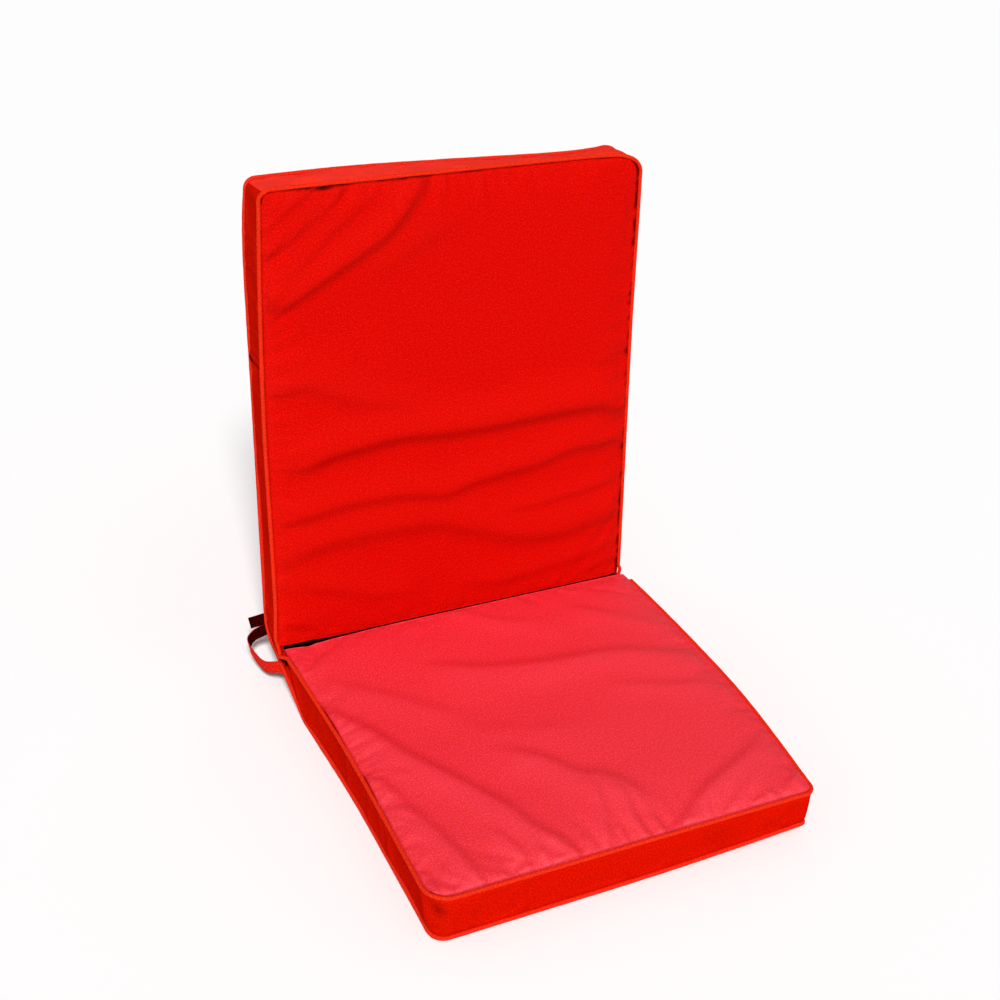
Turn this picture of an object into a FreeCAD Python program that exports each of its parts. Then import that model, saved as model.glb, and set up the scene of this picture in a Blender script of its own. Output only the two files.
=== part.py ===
import FreeCAD, Part
import math
import os

import Sketcher

# Hinged high-back chair cushion: a box-edged seat pad and a back pad, joined by a fabric hinge.
# Millimetres. Origin at the centre of the seat pad's flat underside: -Y is the front edge,
# +X the sitter's left, +Z up. The hinge line runs along X at the rear edge of the seat's top.

DIMENSIONS = {
    "pad_width": 400,
    "seat_depth": 390,
    "back_height": 480,
    "pad_thickness": 50,
    "corner_radius": 16,
    "recline": 7,
    "hinge_clearance": 3,
    "face_setback": 0.5,
    "taper_length": 66,
    "taper_bend_radius": 12,
    "hinge_end_thickness": 25,
    "fabric": 1,
    "piping_diameter": 4.5,
    "piping_core_diameter": 2.5,
    "piping_proud": 1,
    "sewing_gap": 0.1,
    "boxing_seam_height": 302,
    "hinge_welt_diameter": 4,
    "hinge_sag": 12,
    "zip_length": 350,
    "zip_tape_width": 11,
    "zip_tape_thickness": 0.6,
    "zip_coil_width": 4,
    "zip_coil_thickness": 1.6,
    "zip_stop_length": 2,
    "zip_stop_margin": 1,
    "slider_length": 9,
    "slider_width": 7,
    "slider_wall": 0.8,
    "slider_gap": 0.3,
    "slider_park": 5,
    "bail_length": 5,
    "bail_width": 2,
    "bail_wall": 0.8,
    "bail_pivot_height": 1.2,
    "pull_length": 22,
    "pull_width": 6,
    "pull_thickness": 1,
    "pull_hub": 0.9,
    "back_zip_height": 45,
    "seat_zip_inset": 34,
    "tie_width": 12,
    "tie_thickness": 1,
}
SHEET = "Dimensions"


def dim(name):
    return f"{SHEET}.{name}"


HALF_WIDTH = f"{dim('pad_width')} / 2"
SEAT_FRONT = f"-{dim('seat_depth')} / 2"
HINGE_Y = f"{dim('seat_depth')} / 2"
SEAT_END = f"({HINGE_Y} - {dim('hinge_clearance')})"
TAPER_START = f"({HINGE_Y} - {dim('taper_length')})"
HINGE_RISE = f"({dim('pad_thickness')} - {dim('hinge_end_thickness')})"
TAPER_SLOPE = f"({HINGE_RISE} / ({dim('taper_length')} - {dim('hinge_clearance')}))"
PIPING_RADIUS = f"({dim('piping_diameter')} / 2)"
SEAM_INSET = f"({PIPING_RADIUS} - {dim('piping_proud')} + {dim('sewing_gap')})"
PANEL_HALF = f"({HALF_WIDTH} - {SEAM_INSET})"
PIPING_HALF = f"({HALF_WIDTH} + {dim('piping_proud')})"
TOP_FACE = f"({dim('pad_thickness')} - {dim('face_setback')})"
BAND_LOW = f"({dim('piping_diameter')} + {dim('sewing_gap')})"
BAND_HIGH = f"({TOP_FACE} - {dim('piping_diameter')} - {dim('sewing_gap')})"
THROUGH = 30

doc = FreeCAD.newDocument("hinged_chair_cushion")
subparts = []


def make_sheet():
    sheet = doc.addObject("Spreadsheet::Sheet", SHEET)
    for row, (alias, value) in enumerate(DIMENSIONS.items(), start=1):
        sheet.set(f"A{row}", alias)
        sheet.set(f"B{row}", str(value))
        sheet.setAlias(f"B{row}", alias)
    doc.recompute()
    return sheet


sheet = make_sheet()


def value(expression):
    result = sheet.evalExpression(expression.replace(f"{SHEET}.", ""))
    return float(getattr(result, "Value", result))


def seat_frame():
    return FreeCAD.Placement()


def back_frame():
    """The back pad's own frame: X along the hinge, Y through the pad to the rear, Z up its face."""
    hinge = FreeCAD.Vector(0, value(HINGE_Y), value(dim("pad_thickness")))
    return FreeCAD.Placement(hinge, FreeCAD.Rotation(FreeCAD.Vector(1, 0, 0), -value(dim("recline"))))


def keep(item, label, frame):
    """Names a sub-part, carries it from its own place into the frame and lists it for writing."""
    item.Label = label
    own_place = item.Placement
    for axis in "xyz":
        item.setExpression(f"Placement.Base.{axis}", None)
    item.Placement = frame.multiply(own_place)
    subparts.append(item)


# ---- sketches -------------------------------------------------------------------------------


def sketch_on(body, name, role, offset=None):
    """An empty sketch on one of the body's origin planes, moved along the plane's normal."""
    sketch = body.newObject("Sketcher::SketchObject", name)
    plane = [item for item in body.Origin.OriginFeatures if item.Role == role][0]
    sketch.AttachmentSupport = [(plane, "")]
    sketch.MapMode = "FlatFace"
    if offset:
        sketch.setExpression("AttachmentOffset.Base.z", offset)
    return sketch


def pin_point(sketch, geometry, point, across, up, name):
    """Fixes a point of the sketch by its two distances from the origin, each an expression."""
    for kind, expression in (("DistanceX", across), ("DistanceY", up)):
        constraint = Sketcher.Constraint(kind, -1, 1, geometry, point, value(expression))
        index = sketch.addConstraint(constraint)
        label = f"{name}_{kind[-1].lower()}"
        sketch.renameConstraint(index, label)
        sketch.setExpression(f"Constraints.{label}", expression)


def polygon(sketch, corners):
    """A closed outline of straight lines through corners, each a pair of expressions."""
    points = [FreeCAD.Vector(value(across), value(up), 0) for across, up in corners]
    count = len(points)
    for index in range(count):
        line = Part.LineSegment(points[index], points[(index + 1) % count])
        sketch.addGeometry(line, False)
    for index in range(count):
        sketch.addConstraint(Sketcher.Constraint("Coincident", index, 2, (index + 1) % count, 1))
        pin_point(sketch, index, 1, *corners[index], f"corner{index}")


def rounded_outline(sketch, half, square_end, round_end, radius, closed=True):
    """A pad's outline: square corners at the hinge end, round ones at the far end.

    Lines and arcs run from one hinge corner, round the far end, to the other hinge corner.
    """
    wide, near, far, bend = (value(item) for item in (half, square_end, round_end, radius))
    way = math.copysign(1, far - near)
    shoulder = far - way * bend
    sides = (-wide, wide)
    corners = [FreeCAD.Vector(side - math.copysign(bend, side), shoulder, 0) for side in sides]
    axis = FreeCAD.Vector(0, 0, 1)
    arcs = []
    for centre, side in zip(corners, sides):
        start, end = sorted((0.5 * math.pi * way, math.pi if side < 0 else 0.0))
        if side < 0 and way < 0:
            start, end = math.pi, 1.5 * math.pi
        arcs.append(Part.ArcOfCircle(Part.Circle(centre, axis, bend), start, end))
    left = Part.LineSegment(FreeCAD.Vector(-wide, near, 0), FreeCAD.Vector(-wide, shoulder, 0))
    cross = Part.LineSegment(
        FreeCAD.Vector(-wide + bend, far, 0), FreeCAD.Vector(wide - bend, far, 0)
    )
    right = Part.LineSegment(FreeCAD.Vector(wide, shoulder, 0), FreeCAD.Vector(wide, near, 0))
    for item in (left, arcs[0], cross, arcs[1], right):
        sketch.addGeometry(item, False)
    # an arc runs anticlockwise, so its first point is the far one when the far end is upwards
    entry, leave = (2, 1) if way > 0 else (1, 2)
    for first, first_end, second, second_end in (
        (0, 2, 1, entry),
        (1, leave, 2, 1),
        (2, 2, 3, entry),
        (3, leave, 4, 1),
    ):
        sketch.addConstraint(Sketcher.Constraint("Tangent", first, first_end, second, second_end))
    for index, name in ((1, "left_radius"), (3, "right_radius")):
        place = sketch.addConstraint(Sketcher.Constraint("Radius", index, bend))
        sketch.renameConstraint(place, name)
        sketch.setExpression(f"Constraints.{name}", radius)
    sketch.addConstraint(Sketcher.Constraint("Vertical", 0))
    sketch.addConstraint(Sketcher.Constraint("Vertical", 4))
    sketch.addConstraint(Sketcher.Constraint("Horizontal", 2))
    pin_point(sketch, 0, 1, f"-({half})", square_end, "left_end")
    pin_point(sketch, 4, 2, half, square_end, "right_end")
    place = sketch.addConstraint(Sketcher.Constraint("DistanceY", -1, 1, 2, 1, far))
    sketch.renameConstraint(place, "far_edge")
    sketch.setExpression("Constraints.far_edge", round_end)
    if closed:
        shut = Part.LineSegment(FreeCAD.Vector(wide, near, 0), FreeCAD.Vector(-wide, near, 0))
        sketch.addGeometry(shut, False)
        sketch.addConstraint(Sketcher.Constraint("Coincident", 4, 2, 5, 1))
        sketch.addConstraint(Sketcher.Constraint("Coincident", 5, 2, 0, 1))


# ---- features -------------------------------------------------------------------------------


def new_body(label):
    return doc.addObject("PartDesign::Body", f"{label}_body")


def pad(body, sketch, length, symmetric=False, reverse=False):
    feature = body.newObject("PartDesign::Pad", f"{sketch.Name}_pad")
    feature.Profile = sketch
    feature.setExpression("Length", length)
    feature.Reversed = reverse
    if symmetric:
        feature.SideType = "Symmetric"
    sketch.Visibility = False
    doc.recompute()
    return feature


def pocket_through(body, name, role, corners):
    """Cuts a polygon, seen along the X axis or from above, right through the body."""
    sketch = sketch_on(body, name, role)
    polygon(sketch, corners)
    before = body.Shape.Volume
    feature = body.newObject("PartDesign::Pocket", f"{name}_pocket")
    feature.Profile = sketch
    feature.SideType = "Symmetric"
    feature.Type = "ThroughAll"
    doc.recompute()
    if not body.Shape.Volume < before:
        raise ValueError(f"{name} cuts nothing")
    return feature


def taper_corners(height):
    """The wedge below the seat's underside at its hinge end, raised by height."""
    beyond = f"({SEAT_END} + {THROUGH})"
    return [
        (TAPER_START, height),
        (beyond, f"{height} + {TAPER_SLOPE} * ({beyond} - {TAPER_START})"),
        (beyond, f"-{THROUGH}"),
        (TAPER_START, f"-{THROUGH}"),
    ]


def seat_layer(label, half, far, radius, low, high, taper_height):
    """A flat layer of the seat pad between two heights, cut away below its tapered end."""
    body = new_body(label)
    sketch = sketch_on(body, f"{label}_outline", "XY_Plane", low)
    rounded_outline(sketch, half, SEAT_END, far, radius)
    pad(body, sketch, f"{high} - ({low})")
    if taper_height is not None:
        pocket_through(body, f"{label}_taper", "YZ_Plane", taper_corners(taper_height))
    return body


def back_layer(label, half, end, far, radius, front, rear):
    """A flat layer of the back pad between two depths behind its front face."""
    body = new_body(label)
    sketch = sketch_on(body, f"{label}_outline", "XZ_Plane", f"-({front})")
    rounded_outline(sketch, half, end, far, radius)
    pad(body, sketch, f"{rear} - ({front})", reverse=True)
    return body


def hollow(body, label, role, half, beyond, far, radius):
    """Leaves a band by cutting the inner outline through a layer."""
    sketch = sketch_on(body, f"{label}_inside", role)
    rounded_outline(sketch, half, beyond, far, radius)
    before = body.Shape.Volume
    feature = body.newObject("PartDesign::Pocket", f"{label}_inside_pocket")
    feature.Profile = sketch
    feature.SideType = "Symmetric"
    feature.Type = "ThroughAll"
    doc.recompute()
    if not body.Shape.Volume < before:
        raise ValueError(f"{label} has not been hollowed")


def circles(sketch, across, up, diameters):
    """Concentric circles about one point: one makes a rod, two a tube."""
    for index, diameter in enumerate(diameters):
        centre = FreeCAD.Vector(value(across), value(up), 0)
        circle = Part.Circle(centre, FreeCAD.Vector(0, 0, 1), value(diameter) / 2)
        geometry = sketch.addGeometry(circle, False)
        place = sketch.addConstraint(
            Sketcher.Constraint("Diameter", geometry, value(diameter))
        )
        sketch.renameConstraint(place, f"diameter{index}")
        sketch.setExpression(f"Constraints.diameter{index}", diameter)
        pin_point(sketch, geometry, 3, across, up, f"centre{index}")


def flat_piping(label, plane, plane_offset, end, far, section_plane, section_offset, section):
    """A bead swept round three sides of a pad's face; section is (across, up, diameters)."""
    body = new_body(label)
    spine = sketch_on(body, f"{label}_path", plane, plane_offset)
    radius = f"({dim('corner_radius')} + {dim('piping_proud')})"
    rounded_outline(spine, PIPING_HALF, end, far, radius, closed=False)
    profile = sketch_on(body, f"{label}_section", section_plane, section_offset)
    circles(profile, *section)
    doc.recompute()
    pipe = body.newObject("PartDesign::AdditivePipe", f"{label}_sweep")
    pipe.Profile = profile
    pipe.Spine = (spine, [f"Edge{index}" for index in range(1, 6)])
    doc.recompute()
    return body


COVER = (dim("piping_diameter"), dim("piping_core_diameter"))
CORE = (dim("piping_core_diameter"),)
PIPING_KINDS = {"": COVER, "_cord": CORE}


def box(label, corner, size):
    """A rectangular block: corner and size are triples of expressions."""
    item = doc.addObject("Part::Box", label)
    for side, expression in zip(("Length", "Width", "Height"), size):
        item.setExpression(side, expression)
    for axis, expression in zip("xyz", corner):
        item.setExpression(f"Placement.Base.{axis}", expression)
    doc.recompute()
    return item


# ---- swept pieces that don't lie in one plane -------------------------------------------------


def rounded_route(points, radii=None):
    """Straight runs joined by tangent arcs, of the radii given or each as large as its runs allow."""
    corners = [FreeCAD.Vector(*point) for point in points]
    edges, start, used = [], corners[0], []
    for index, corner in enumerate(corners[1:-1]):
        inward, outward = corner - corners[index], corners[index + 2] - corner
        half_turn = inward.getAngle(outward) / 2
        if radii:
            radius = radii[index]
            reach = radius * math.tan(half_turn)
        else:
            reach = 0.45 * min(inward.Length, outward.Length)
            radius = reach / math.tan(half_turn)
        used.append(radius)
        inward.normalize()
        outward.normalize()
        enter, leave = corner - inward * reach, corner + outward * reach
        bisector = (outward - inward).normalize()
        middle = corner + bisector * (radius / math.cos(half_turn) - radius)
        edges.append(Part.LineSegment(start, enter).toShape())
        edges.append(Part.Arc(enter, middle, leave).toShape())
        start = leave
    edges.append(Part.LineSegment(start, corners[-1]).toShape())
    return Part.Wire(edges), used


def sweep(label, route, section):
    """Carries a closed section along a route as one solid, and compares the volume."""
    shell = Part.BRepOffsetAPI.MakePipeShell(route)
    shell.setFrenetMode(False)
    shell.add(section)
    if not shell.isReady():
        raise ValueError(f"{label} can't be swept")
    shell.build()
    shell.makeSolid()
    solid = shell.shape()
    expected = Part.Face(section).Area * route.Length
    if abs(solid.Volume / expected - 1) > 0.03:
        raise ValueError(f"{label} has volume {solid.Volume:.0f}, not {expected:.0f}")
    return solid


def round_section(route, diameter):
    start, way = route.Edges[0].valueAt(0), route.Edges[0].tangentAt(0)
    return Part.Wire(Part.Circle(start, way, diameter / 2).toShape())


def strap_section(route, across):
    """The rectangle of a flat tape at the start of its route, its width close to across."""
    start, way = route.Edges[0].valueAt(0), route.Edges[0].tangentAt(0)
    side = (across - way * across.dot(way)).normalize()
    face = way.cross(side)
    wide, thick = value(dim("tie_width")) / 2, value(dim("tie_thickness")) / 2
    corners = [
        start + side * (wide * a) + face * (thick * b) for a, b in ((-1, -1), (1, -1), (1, 1), (-1, 1))
    ]
    return Part.makePolygon([*corners, corners[0]])


def bead_pair(label, points, radii=None):
    """The woven cover of a piping run and the cord inside it."""
    outer, inner = value(dim("piping_diameter")), value(dim("piping_core_diameter"))
    route, _ = rounded_route(points, radii)
    whole = sweep(label, route, round_section(route, outer))
    core = sweep(label, route, round_section(route, inner))
    for suffix, shape in (("", whole.cut(core)), ("_cord", core)):
        piece = doc.addObject("Part::Feature", label + suffix)
        piece.Shape = shape
        keep(piece, label + suffix, seat_frame())


# ---- the seat pad -----------------------------------------------------------------------------


def make_seat():
    far_panel = f"({SEAT_FRONT} + {SEAM_INSET})"
    panel_radius = f"({dim('corner_radius')} - {SEAM_INSET})"
    fabric = dim("fabric")
    end_wall = f"({SEAT_END} - {fabric})"

    foam = seat_layer(
        "seat_foam", PANEL_HALF, far_panel, panel_radius, fabric, f"({TOP_FACE} - {fabric})", fabric
    )
    pocket_through(
        foam,
        "seat_foam_end",
        "YZ_Plane",
        [
            (end_wall, f"-{THROUGH}"),
            (f"{end_wall} + {THROUGH}", f"-{THROUGH}"),
            (f"{end_wall} + {THROUGH}", f"{dim('pad_thickness')} + {THROUGH}"),
            (end_wall, f"{dim('pad_thickness')} + {THROUGH}"),
        ],
    )
    keep(foam, "seat_foam", seat_frame())

    top = seat_layer(
        "seat_top_panel", PANEL_HALF, far_panel, panel_radius, f"{TOP_FACE} - {fabric}", TOP_FACE, None
    )
    keep(top, "seat_top_panel", seat_frame())

    bottom = seat_layer(
        "seat_bottom_panel", PANEL_HALF, far_panel, panel_radius, "0", dim("pad_thickness"), "0"
    )
    beyond = f"({SEAT_END} + {THROUGH})"
    ceiling = f"{dim('pad_thickness')} + {THROUGH}"
    pocket_through(
        bottom,
        "seat_bottom_inside",
        "YZ_Plane",
        [
            (f"{SEAT_FRONT} - {THROUGH}", fabric),
            (TAPER_START, fabric),
            (beyond, f"{fabric} + {TAPER_SLOPE} * ({beyond} - {TAPER_START})"),
            (beyond, ceiling),
            (f"{SEAT_FRONT} - {THROUGH}", ceiling),
        ],
    )
    keep(bottom, "seat_bottom_panel", seat_frame())

    wall = box(
        "seat_hinge_wall",
        (f"-{PANEL_HALF}", end_wall, f"{HINGE_RISE} + {fabric}"),
        (f"2 * {PANEL_HALF}", fabric, f"{TOP_FACE} - {HINGE_RISE} - 2 * {fabric}"),
    )
    keep(wall, "seat_hinge_wall", seat_frame())

    band = seat_layer(
        "seat_boxing", HALF_WIDTH, SEAT_FRONT, dim("corner_radius"), BAND_LOW, BAND_HIGH, BAND_LOW
    )
    inner_half = f"({HALF_WIDTH} - {fabric})"
    inner_far = f"({SEAT_FRONT} + {fabric})"
    inner_radius = f"({dim('corner_radius')} - {fabric})"
    hollow(band, "seat_boxing", "XY_Plane", inner_half, beyond, inner_far, inner_radius)
    keep(band, "seat_boxing", seat_frame())

    bead_far = f"({SEAT_FRONT} - {dim('piping_proud')})"
    bead_height = f"({TOP_FACE} - {PIPING_RADIUS})"
    for suffix, diameters in PIPING_KINDS.items():
        label = f"seat_top_piping{suffix}"
        body = flat_piping(
            label,
            "XY_Plane",
            bead_height,
            SEAT_END,
            bead_far,
            "XZ_Plane",
            f"-({SEAT_END})",
            (f"-{PIPING_HALF}", bead_height, diameters),
        )
        keep(body, label, seat_frame())
    make_seat_bottom_piping()


def make_seat_bottom_piping():
    """The lower bead: down the taper, round three sides on the resting plane, and up again."""
    side, low = value(PIPING_HALF), value(PIPING_RADIUS)
    front = value(SEAT_FRONT) - value(dim("piping_proud"))
    end, start = value(SEAT_END), value(TAPER_START)
    corner = value(dim("corner_radius")) + value(dim("piping_proud"))
    bend, rise = value(dim("taper_bend_radius")), value(HINGE_RISE)
    right = [(-side, end, low + rise), (-side, start, low), (-side, front, low)]
    left = [(-x, y, z) for x, y, z in reversed(right)]
    bead_pair("seat_bottom_piping", right + left, [bend, corner, corner, bend])


# ---- the back pad -----------------------------------------------------------------------------


def make_back():
    fabric, end = dim("fabric"), dim("hinge_clearance")
    thick, setback = dim("pad_thickness"), dim("face_setback")
    far_panel = f"({dim('back_height')} - {SEAM_INSET})"
    panel_radius = f"({dim('corner_radius')} - {SEAM_INSET})"
    front_inside, rear_inside = f"({setback} + {fabric})", f"({thick} - {fabric})"

    layers = {
        "back_front_panel": (end, setback, front_inside),
        "back_foam": (f"({end} + {fabric})", front_inside, rear_inside),
        "back_rear_panel": (end, rear_inside, thick),
    }
    for label, (lower, front, rear) in layers.items():
        body = back_layer(label, PANEL_HALF, lower, far_panel, panel_radius, front, rear)
        keep(body, label, back_frame())

    wall = box(
        "back_hinge_wall",
        (f"-{PANEL_HALF}", front_inside, end),
        (f"2 * {PANEL_HALF}", f"{rear_inside} - {front_inside}", fabric),
    )
    keep(wall, "back_hinge_wall", back_frame())
    make_back_boxing()

    bead_far = f"({dim('back_height')} + {dim('piping_proud')})"
    depths = {
        "back_front_piping": f"({setback} + {PIPING_RADIUS})",
        "back_rear_piping": f"({thick} - {PIPING_RADIUS})",
    }
    for name, depth in depths.items():
        for suffix, diameters in PIPING_KINDS.items():
            label = name + suffix
            body = flat_piping(
                label,
                "XZ_Plane",
                f"-{depth}",
                end,
                bead_far,
                "XY_Plane",
                end,
                (f"-{PIPING_HALF}", depth, diameters),
            )
            keep(body, label, back_frame())


def make_back_boxing():
    """The back's edge band: one piece over the top, one strip down each side, joined low."""
    fabric, seam = dim("fabric"), dim("boxing_seam_height")
    front = f"({dim('face_setback')} + {dim('piping_diameter')} + {dim('sewing_gap')})"
    rear = f"({dim('pad_thickness')} - {dim('piping_diameter')} - {dim('sewing_gap')})"
    upper = back_layer(
        "back_boxing_upper",
        HALF_WIDTH,
        f"({seam} + {dim('sewing_gap')})",
        dim("back_height"),
        dim("corner_radius"),
        front,
        rear,
    )
    hollow(
        upper,
        "back_boxing_upper",
        "XZ_Plane",
        f"({HALF_WIDTH} - {fabric})",
        f"({seam} - {THROUGH})",
        f"({dim('back_height')} - {fabric})",
        f"({dim('corner_radius')} - {fabric})",
    )
    keep(upper, "back_boxing_upper", back_frame())
    low = dim("hinge_clearance")
    for label, corner in (
        ("back_boxing_right", f"-{HALF_WIDTH}"),
        ("back_boxing_left", f"{HALF_WIDTH} - {fabric}"),
    ):
        strip = box(label, (corner, front, low), (fabric, f"{rear} - {front}", f"{seam} - {low}"))
        keep(strip, label, back_frame())


# ---- the hinge --------------------------------------------------------------------------------


def side_view(frame, depth, height):
    """A point of the back's side view, in the seat's frame."""
    point = frame.multVec(FreeCAD.Vector(0, depth, height))
    return point.y, point.z


def make_hinge():
    welt = doc.addObject("Part::Cylinder", "hinge_welt")
    welt.setExpression("Radius", f"{dim('hinge_welt_diameter')} / 2")
    welt.setExpression("Height", f"2 * {PANEL_HALF}")
    doc.recompute()
    welt.Placement = FreeCAD.Placement(
        FreeCAD.Vector(-value(PANEL_HALF), value(HINGE_Y), value(dim("pad_thickness"))),
        FreeCAD.Rotation(FreeCAD.Vector(0, 1, 0), 90),
    )
    keep(welt, "hinge_welt", seat_frame())

    frame, gap = back_frame(), value(dim("sewing_gap"))
    end = value(dim("hinge_clearance")) - gap
    seat_end = value(SEAT_END) + gap
    low, high = value(HINGE_RISE), value(dim("pad_thickness"))
    fabric, radius = value(dim("fabric")), value(PIPING_RADIUS)
    thick, sag = value(dim("pad_thickness")), value(dim("hinge_sag"))
    rear_y, rear_z = side_view(frame, thick, end)

    make_hinge_skin(seat_end, low, rear_y, rear_z, fabric, sag)

    side = value(PIPING_HALF)
    top = value(TOP_FACE) - radius
    inner_back = side_view(frame, value(dim("face_setback")) + radius, end)
    lean = math.radians(value(dim("recline")))
    corner_y = inner_back[0] - (inner_back[1] - top) * math.tan(lean)
    outer_back = side_view(frame, thick - radius, end)
    outer_turn = (outer_back[0] - sag * math.tan(lean), outer_back[1] - sag)
    for name, way in (("right", -1), ("left", 1)):
        bead_pair(
            f"hinge_inner_piping_{name}",
            [(way * side, seat_end, top), (way * side, corner_y, top), (way * side, *inner_back)],
        )
        bead_pair(
            f"hinge_outer_piping_{name}",
            [
                (way * side, seat_end + radius / 2, low + radius + gap),
                (way * side, *outer_turn),
                (way * side, *outer_back),
            ],
        )
        make_hinge_gusset(name, way, frame, end, seat_end, outer_turn)


def make_hinge_skin(seat_end, low, rear_y, rear_z, fabric, sag):
    """The outer cover between the pads: from the seat's underside, below the back, and up."""
    turn = FreeCAD.Vector(0, rear_y - fabric, rear_z - sag)
    outline = [
        FreeCAD.Vector(0, seat_end, low + fabric),
        FreeCAD.Vector(0, seat_end, low),
        turn,
        FreeCAD.Vector(0, rear_y, rear_z),
        FreeCAD.Vector(0, rear_y - fabric, rear_z),
        turn + FreeCAD.Vector(0, -fabric, fabric),
    ]
    face = Part.Face(Part.makePolygon([*outline, outline[0]]))
    half = value(PANEL_HALF)
    face.translate(FreeCAD.Vector(-half, 0, 0))
    skin = doc.addObject("Part::Feature", "hinge_skin")
    skin.Shape = face.extrude(FreeCAD.Vector(2 * half, 0, 0))
    keep(skin, "hinge_skin", seat_frame())


def make_hinge_gusset(name, way, frame, end, seat_end, outer_turn):
    """The pinched stretch of edge band that closes the side of the hinge."""
    band_low, band_high = value(BAND_LOW), value(BAND_HIGH)
    bead = value(dim("piping_diameter"))
    front_depth = value(dim("face_setback")) + bead + value(dim("sewing_gap"))
    rear_depth = value(dim("pad_thickness")) - bead - value(dim("sewing_gap"))
    front_corner = side_view(frame, front_depth, end)
    corners = [
        (seat_end, band_high),
        (front_corner[0], band_high),
        front_corner,
        side_view(frame, rear_depth, end),
        (outer_turn[0] - bead, outer_turn[1] + 0.6 * bead),
        (seat_end, value(HINGE_RISE) + band_low + 1),
    ]
    half, fabric = value(HALF_WIDTH), value(dim("fabric"))
    start = half - fabric if way > 0 else -half
    points = [FreeCAD.Vector(start, y, z) for y, z in corners]
    face = Part.Face(Part.makePolygon([*points, points[0]]))
    gusset = doc.addObject("Part::Feature", f"hinge_gusset_{name}")
    gusset.Shape = face.extrude(FreeCAD.Vector(fabric, 0, 0))
    keep(gusset, f"hinge_gusset_{name}", seat_frame())


# ---- ties -------------------------------------------------------------------------------------

# Routes are for the side at +X; the other side mirrors them.
LOWER_TIE = [
    (196, 247.5, 37),
    (205, 254, 29),
    (214, 252, 22),
    (217, 239, 18),
    (215, 223, 17),
    (207, 209, 18),
    (197, 197, 17),
    (187, 184, 13),
    (179, 170, 9),
]
UPPER_TIE = [
    (136, 249, 52),
    (149, 256, 49),
    (165, 259, 45),
    (182, 260, 43),
    (198, 261, 40),
    (212, 263, 37),
]


def make_ties():
    upright = FreeCAD.Vector(0, 0, 1)
    for name, way in (("right", -1), ("left", 1)):
        for level, points in (("lower", LOWER_TIE), ("upper", UPPER_TIE)):
            label = f"tie_{name}_{level}"
            route, radii = rounded_route([(way * x, y, z) for x, y, z in points])
            print(label, f"length {route.Length:.1f}", "radii", [round(item, 1) for item in radii])
            tape = doc.addObject("Part::Feature", label)
            tape.Shape = sweep(label, route, strap_section(route, upright))
            keep(tape, label, seat_frame())


# ---- zips -------------------------------------------------------------------------------------


def make_zip(pad_name, frame, tape_names):
    """A coil zip along X. frame has Z out of the cloth, and Y across the zip."""
    half, gap = f"{dim('zip_length')} / 2", dim("sewing_gap")
    tape, thin = dim("zip_tape_width"), dim("zip_tape_thickness")
    coil, deep = dim("zip_coil_width"), dim("zip_coil_thickness")
    stop, spare = dim("zip_stop_length"), dim("zip_stop_margin")
    for side, corner in zip(tape_names, (f"-{gap} - {tape}", gap)):
        label = f"{pad_name}_zip_tape_{side}"
        strip = box(label, (f"-{half}", corner, gap), (dim("zip_length"), tape, thin))
        keep(strip, label, frame)
    chain = box(
        f"{pad_name}_zip_coil",
        (f"-{half} + {coil}", f"-{coil} / 2", f"{gap} + {thin}"),
        (f"{dim('zip_length')} - 2 * {coil}", coil, deep),
    )
    keep(chain, f"{pad_name}_zip_coil", frame)
    stops = []
    for index, corner in enumerate((f"-{half} + {spare}", f"{half} - {spare} - {stop}")):
        block = box(
            f"{pad_name}_zip_stop{index}",
            (corner, f"-{coil} / 2 - {spare}", f"{gap} + {thin}"),
            (stop, f"{coil} + 2 * {spare}", f"{deep} + {spare}"),
        )
        stops.append(block)
    pair = doc.addObject("Part::Compound", f"{pad_name}_zip_stops")
    pair.Links = stops
    doc.recompute()
    keep(pair, f"{pad_name}_zip_stops", frame)
    make_slider(pad_name, frame)


def joined(kind, name, base, tool):
    """A boolean of two blocks: kind is Part::Cut or Part::Fuse."""
    item = doc.addObject(kind, name)
    item.Base, item.Tool = base, tool
    doc.recompute()
    return item


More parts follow.
